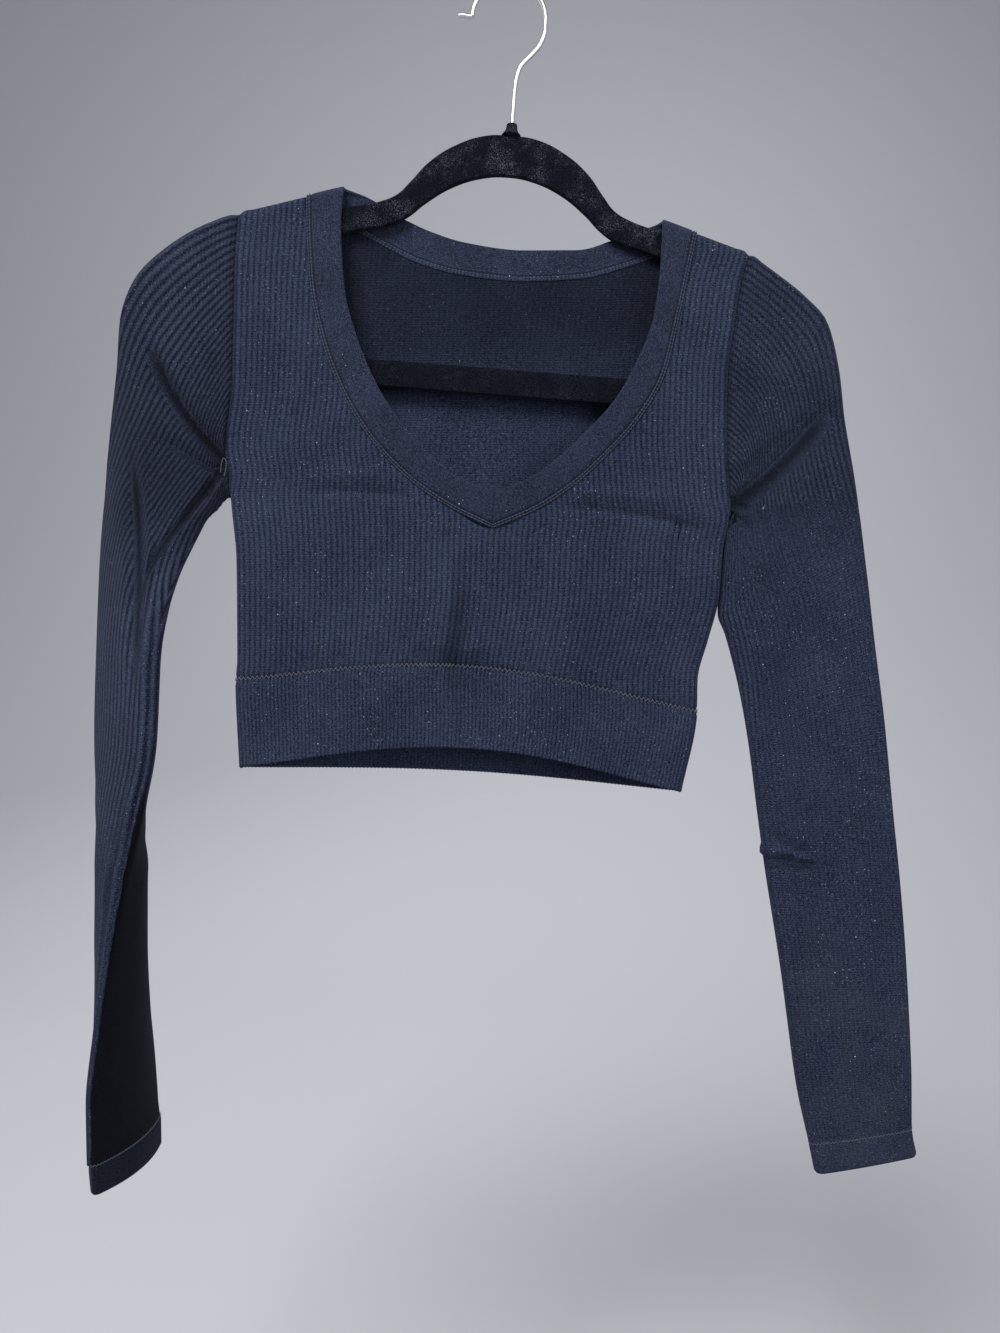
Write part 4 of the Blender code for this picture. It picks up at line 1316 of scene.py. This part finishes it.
def flock_finish():
    """Blue-black velvet flock with grey dust caught in it; less haze and dust are mixed in lower down, at
    the trouser bar, so it is darker there.
    """
    made = Finish("black velvet flock")
    where = made.coordinates("Object")
    fuzz = made.noise(where, NAP_SCALE, 2.0, 0.7)
    wear = made.noise(where, 70.0, 4.0, 0.65)
    # darker lower down: haze and dust fall to a quarter at the trouser bar
    above_bar = 0.25 + 0.75 * made.height(where).ramp(-0.250, -0.215)
    specks = made.specks(where, 620.0, 0.24, 0.60) + made.specks(where, 300.0, 0.13, 0.45)
    dust = specks * above_bar * wear.ramp(0.40, 0.60)
    haze = wear.ramp(0.38, 0.72) * fuzz.ramp(0.50, 0.62) * above_bar
    colour = made.mix(haze * 0.60, made.mix(fuzz.ramp(0.35, 0.65), *FLOCK), FLOCK_HAZE)
    colour = made.mix(dust.ramp(0.0, 1.2) * 0.75, colour, FLOCK_DUST)
    return made.dressed(
        Base_Color=colour, Roughness=0.96 - 0.05 * fuzz, Normal=made.bump(fuzz, 0.6, 0.0005),
        Sheen_Weight=0.05, Sheen_Roughness=0.3, Sheen_Tint=FLOCK_SHEEN, Specular_IOR_Level=0.03,
    )


def thread_finish():
    """Overlock thread, a shade paler than the cloth."""
    made = Finish("seam thread")
    fuzz = made.noise(made.coordinates("Object"), NAP_SCALE, 2.0, 0.6)
    return made.dressed(
        Base_Color=made.mix(fuzz, *SEAM_THREAD), Normal=made.bump(fuzz, 0.5, 0.0003),
        Roughness=0.8, Sheen_Weight=0.2,
    )


def wire_finish():
    """Satin plated hook wire with fine drawing marks."""
    made = Finish("satin hook wire")
    where = made.coordinates("Object")
    marks = made.noise(where, 700.0, 3.0, 0.6)
    clouds = made.noise(where, 90.0, 2.0)
    return made.dressed(
        Base_Color=made.mix(clouds, *PLATED), Roughness=0.30 + 0.12 * marks + 0.08 * clouds,
        Normal=made.bump(marks, 0.05, 0.0001), Metallic=1.0,
    )


# ---------------------------------------------------------------- studio
MIDDLE = (0, 0, -0.42)
SOFTBOXES = {   # place, what it faces, size, watts
    "key": ((-0.8, -1.45, 1.3), MIDDLE, (1.1, 1.1), 90),
    "fill": ((1.6, -1.8, 0.1), MIDDLE, (1.6, 1.6), 36),
    "back fill": ((-0.7, 2.0, 0.9), MIDDLE, (1.6, 1.6), 18),
    "back wash": ((0.6, 1.4, 1.5), (0, 4.2, 0.2), (2.4, 1.2), 46),
}
WORLD_COLOUR, WORLD_STRENGTH = (0.61, 0.635, 0.69, 1), 0.42
BACKDROP_COLOUR = (0.43, 0.44, 0.465, 1)
CAMERA_PLACE = (-0.006, -0.750, -0.4525)
SENSOR = 36
VIEW_HALF_HEIGHT = 0.4419   # what the camera sees, either way from the middle, at the garment
FLOOR_SIZE, FLOOR_PLACE = 10, (0, -3.4, -1.15)
BEND, BEND_TURNS, WALL_HEIGHT = 2.8, 24, 5


def add_softbox(name, place, target, size, power):
    light = bpy.data.lights.new(name, "AREA")
    light.shape = "RECTANGLE"
    light.size, light.size_y = size
    light.energy = power
    lamp = add_object(name, light)
    lamp.location = place
    lamp.rotation_euler = (Vector(target) - lamp.location).to_track_quat("-Z", "Y").to_euler()


def make_sweep(finish):
    """A pale floor that curves up into a wall well behind the garment."""
    bpy.ops.object.select_all(action="DESELECT")
    bpy.ops.mesh.primitive_plane_add(size=FLOOR_SIZE, location=FLOOR_PLACE)
    floor = bpy.context.object
    floor.name = "pale_floor"
    at_back = {corner.index for corner in floor.data.vertices if corner.co.y > 0.49 * FLOOR_SIZE}
    select_in_edit(floor, "edges", lambda edge: at_back.issuperset(edge.vertices))
    step = BEND * math.pi / 2 / BEND_TURNS
    angles = [(turn + 0.5) * math.pi / 2 / BEND_TURNS for turn in range(BEND_TURNS)]
    moves = [(0, step * math.cos(angle), step * math.sin(angle)) for angle in angles]
    for move in moves + [(0, 0, WALL_HEIGHT)]:
        bpy.ops.mesh.extrude_region_move(TRANSFORM_OT_translate={"value": move})
    bpy.ops.object.mode_set(mode="OBJECT")
    bpy.ops.object.shade_smooth()
    floor.data.materials.append(finish)


def make_studio():
    for name, sizes in SOFTBOXES.items():
        add_softbox(name, *sizes)
    world = bpy.data.worlds.new("studio")
    world.use_nodes = True
    background = world.node_tree.nodes["Background"]
    background.inputs["Color"].default_value = WORLD_COLOUR
    background.inputs["Strength"].default_value = WORLD_STRENGTH
    bpy.context.scene.world = world
    make_sweep(Finish("pale backdrop").dressed(Base_Color=BACKDROP_COLOUR, Roughness=0.9))
    lens = bpy.data.cameras.new("camera")
    lens.sensor_width = SENSOR
    lens.lens = SENSOR / 2 / (VIEW_HALF_HEIGHT / -CAMERA_PLACE[1])
    camera = add_object("camera", lens)
    camera.location = CAMERA_PLACE
    camera.rotation_euler = (math.pi / 2, 0, 0)
    bpy.context.scene.camera = camera
    bpy.context.scene.view_settings.view_transform = "Standard"


# ---------------------------------------------------------------- the whole garment
def main():
    """Every piece with its finish, what it replaces and how its cloth was cut, and the studio."""
    rib_knit = knit_finish("blue-black rib knit", 0.62, 0.42, grain=0.62)
    # The sleeve knit gets painted shade up towards the caps, the inside knit high up inside the back.
    sleeve_knit = knit_finish(
        "blue-black sleeve knit", 0.70, 0.45, grain=0.75, rib_rise=0.95, level=0.40,
        painted_shade=(-0.44, -0.27, 0.28),
    )
    band_knit = knit_finish("blue-black band knit", 0.38, 0.45, grain=0.75)
    inside_knit = knit_finish(
        "inside of the rib knit", 0.16, 0.15, grain=0.7, painted_shade=(-0.285, -0.225, 0.62)
    )
    neck_knit = band_finish("blue-black neck knit")
    thread = thread_finish()
    flock, wire = flock_finish(), wire_finish()
    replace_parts(make_hanger(flock), "hanger_body")
    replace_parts(make_collar(flock), "hanger_collar")
    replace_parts(make_hook(wire), "hanger_hook")
    body = make_body(rib_knit, inside_knit)
    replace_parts(body, "front_panel", "back_panel")
    waistband = make_waistband(band_knit, inside_knit)
    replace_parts(waistband, "waistband_front", "waistband_back")
    stitches = make_waist_stitches(thread)
    neckband = make_neckband(neck_knit, neck_knit)
    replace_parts(neckband, "neckband_front_right", "neckband_front_left", "neckband_back")
    for side in ("right", "left"):
        sleeve = make_sleeve(side, sleeve_knit, inside_knit)
        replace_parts(sleeve, f"sleeve_{side}")
        cuff = make_cuff(side, band_knit, inside_knit)
        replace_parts(cuff, f"cuff_{side}")
        stitches = make_cuff_stitches(side, thread)
    make_thread_end(thread)
    make_studio()


main()
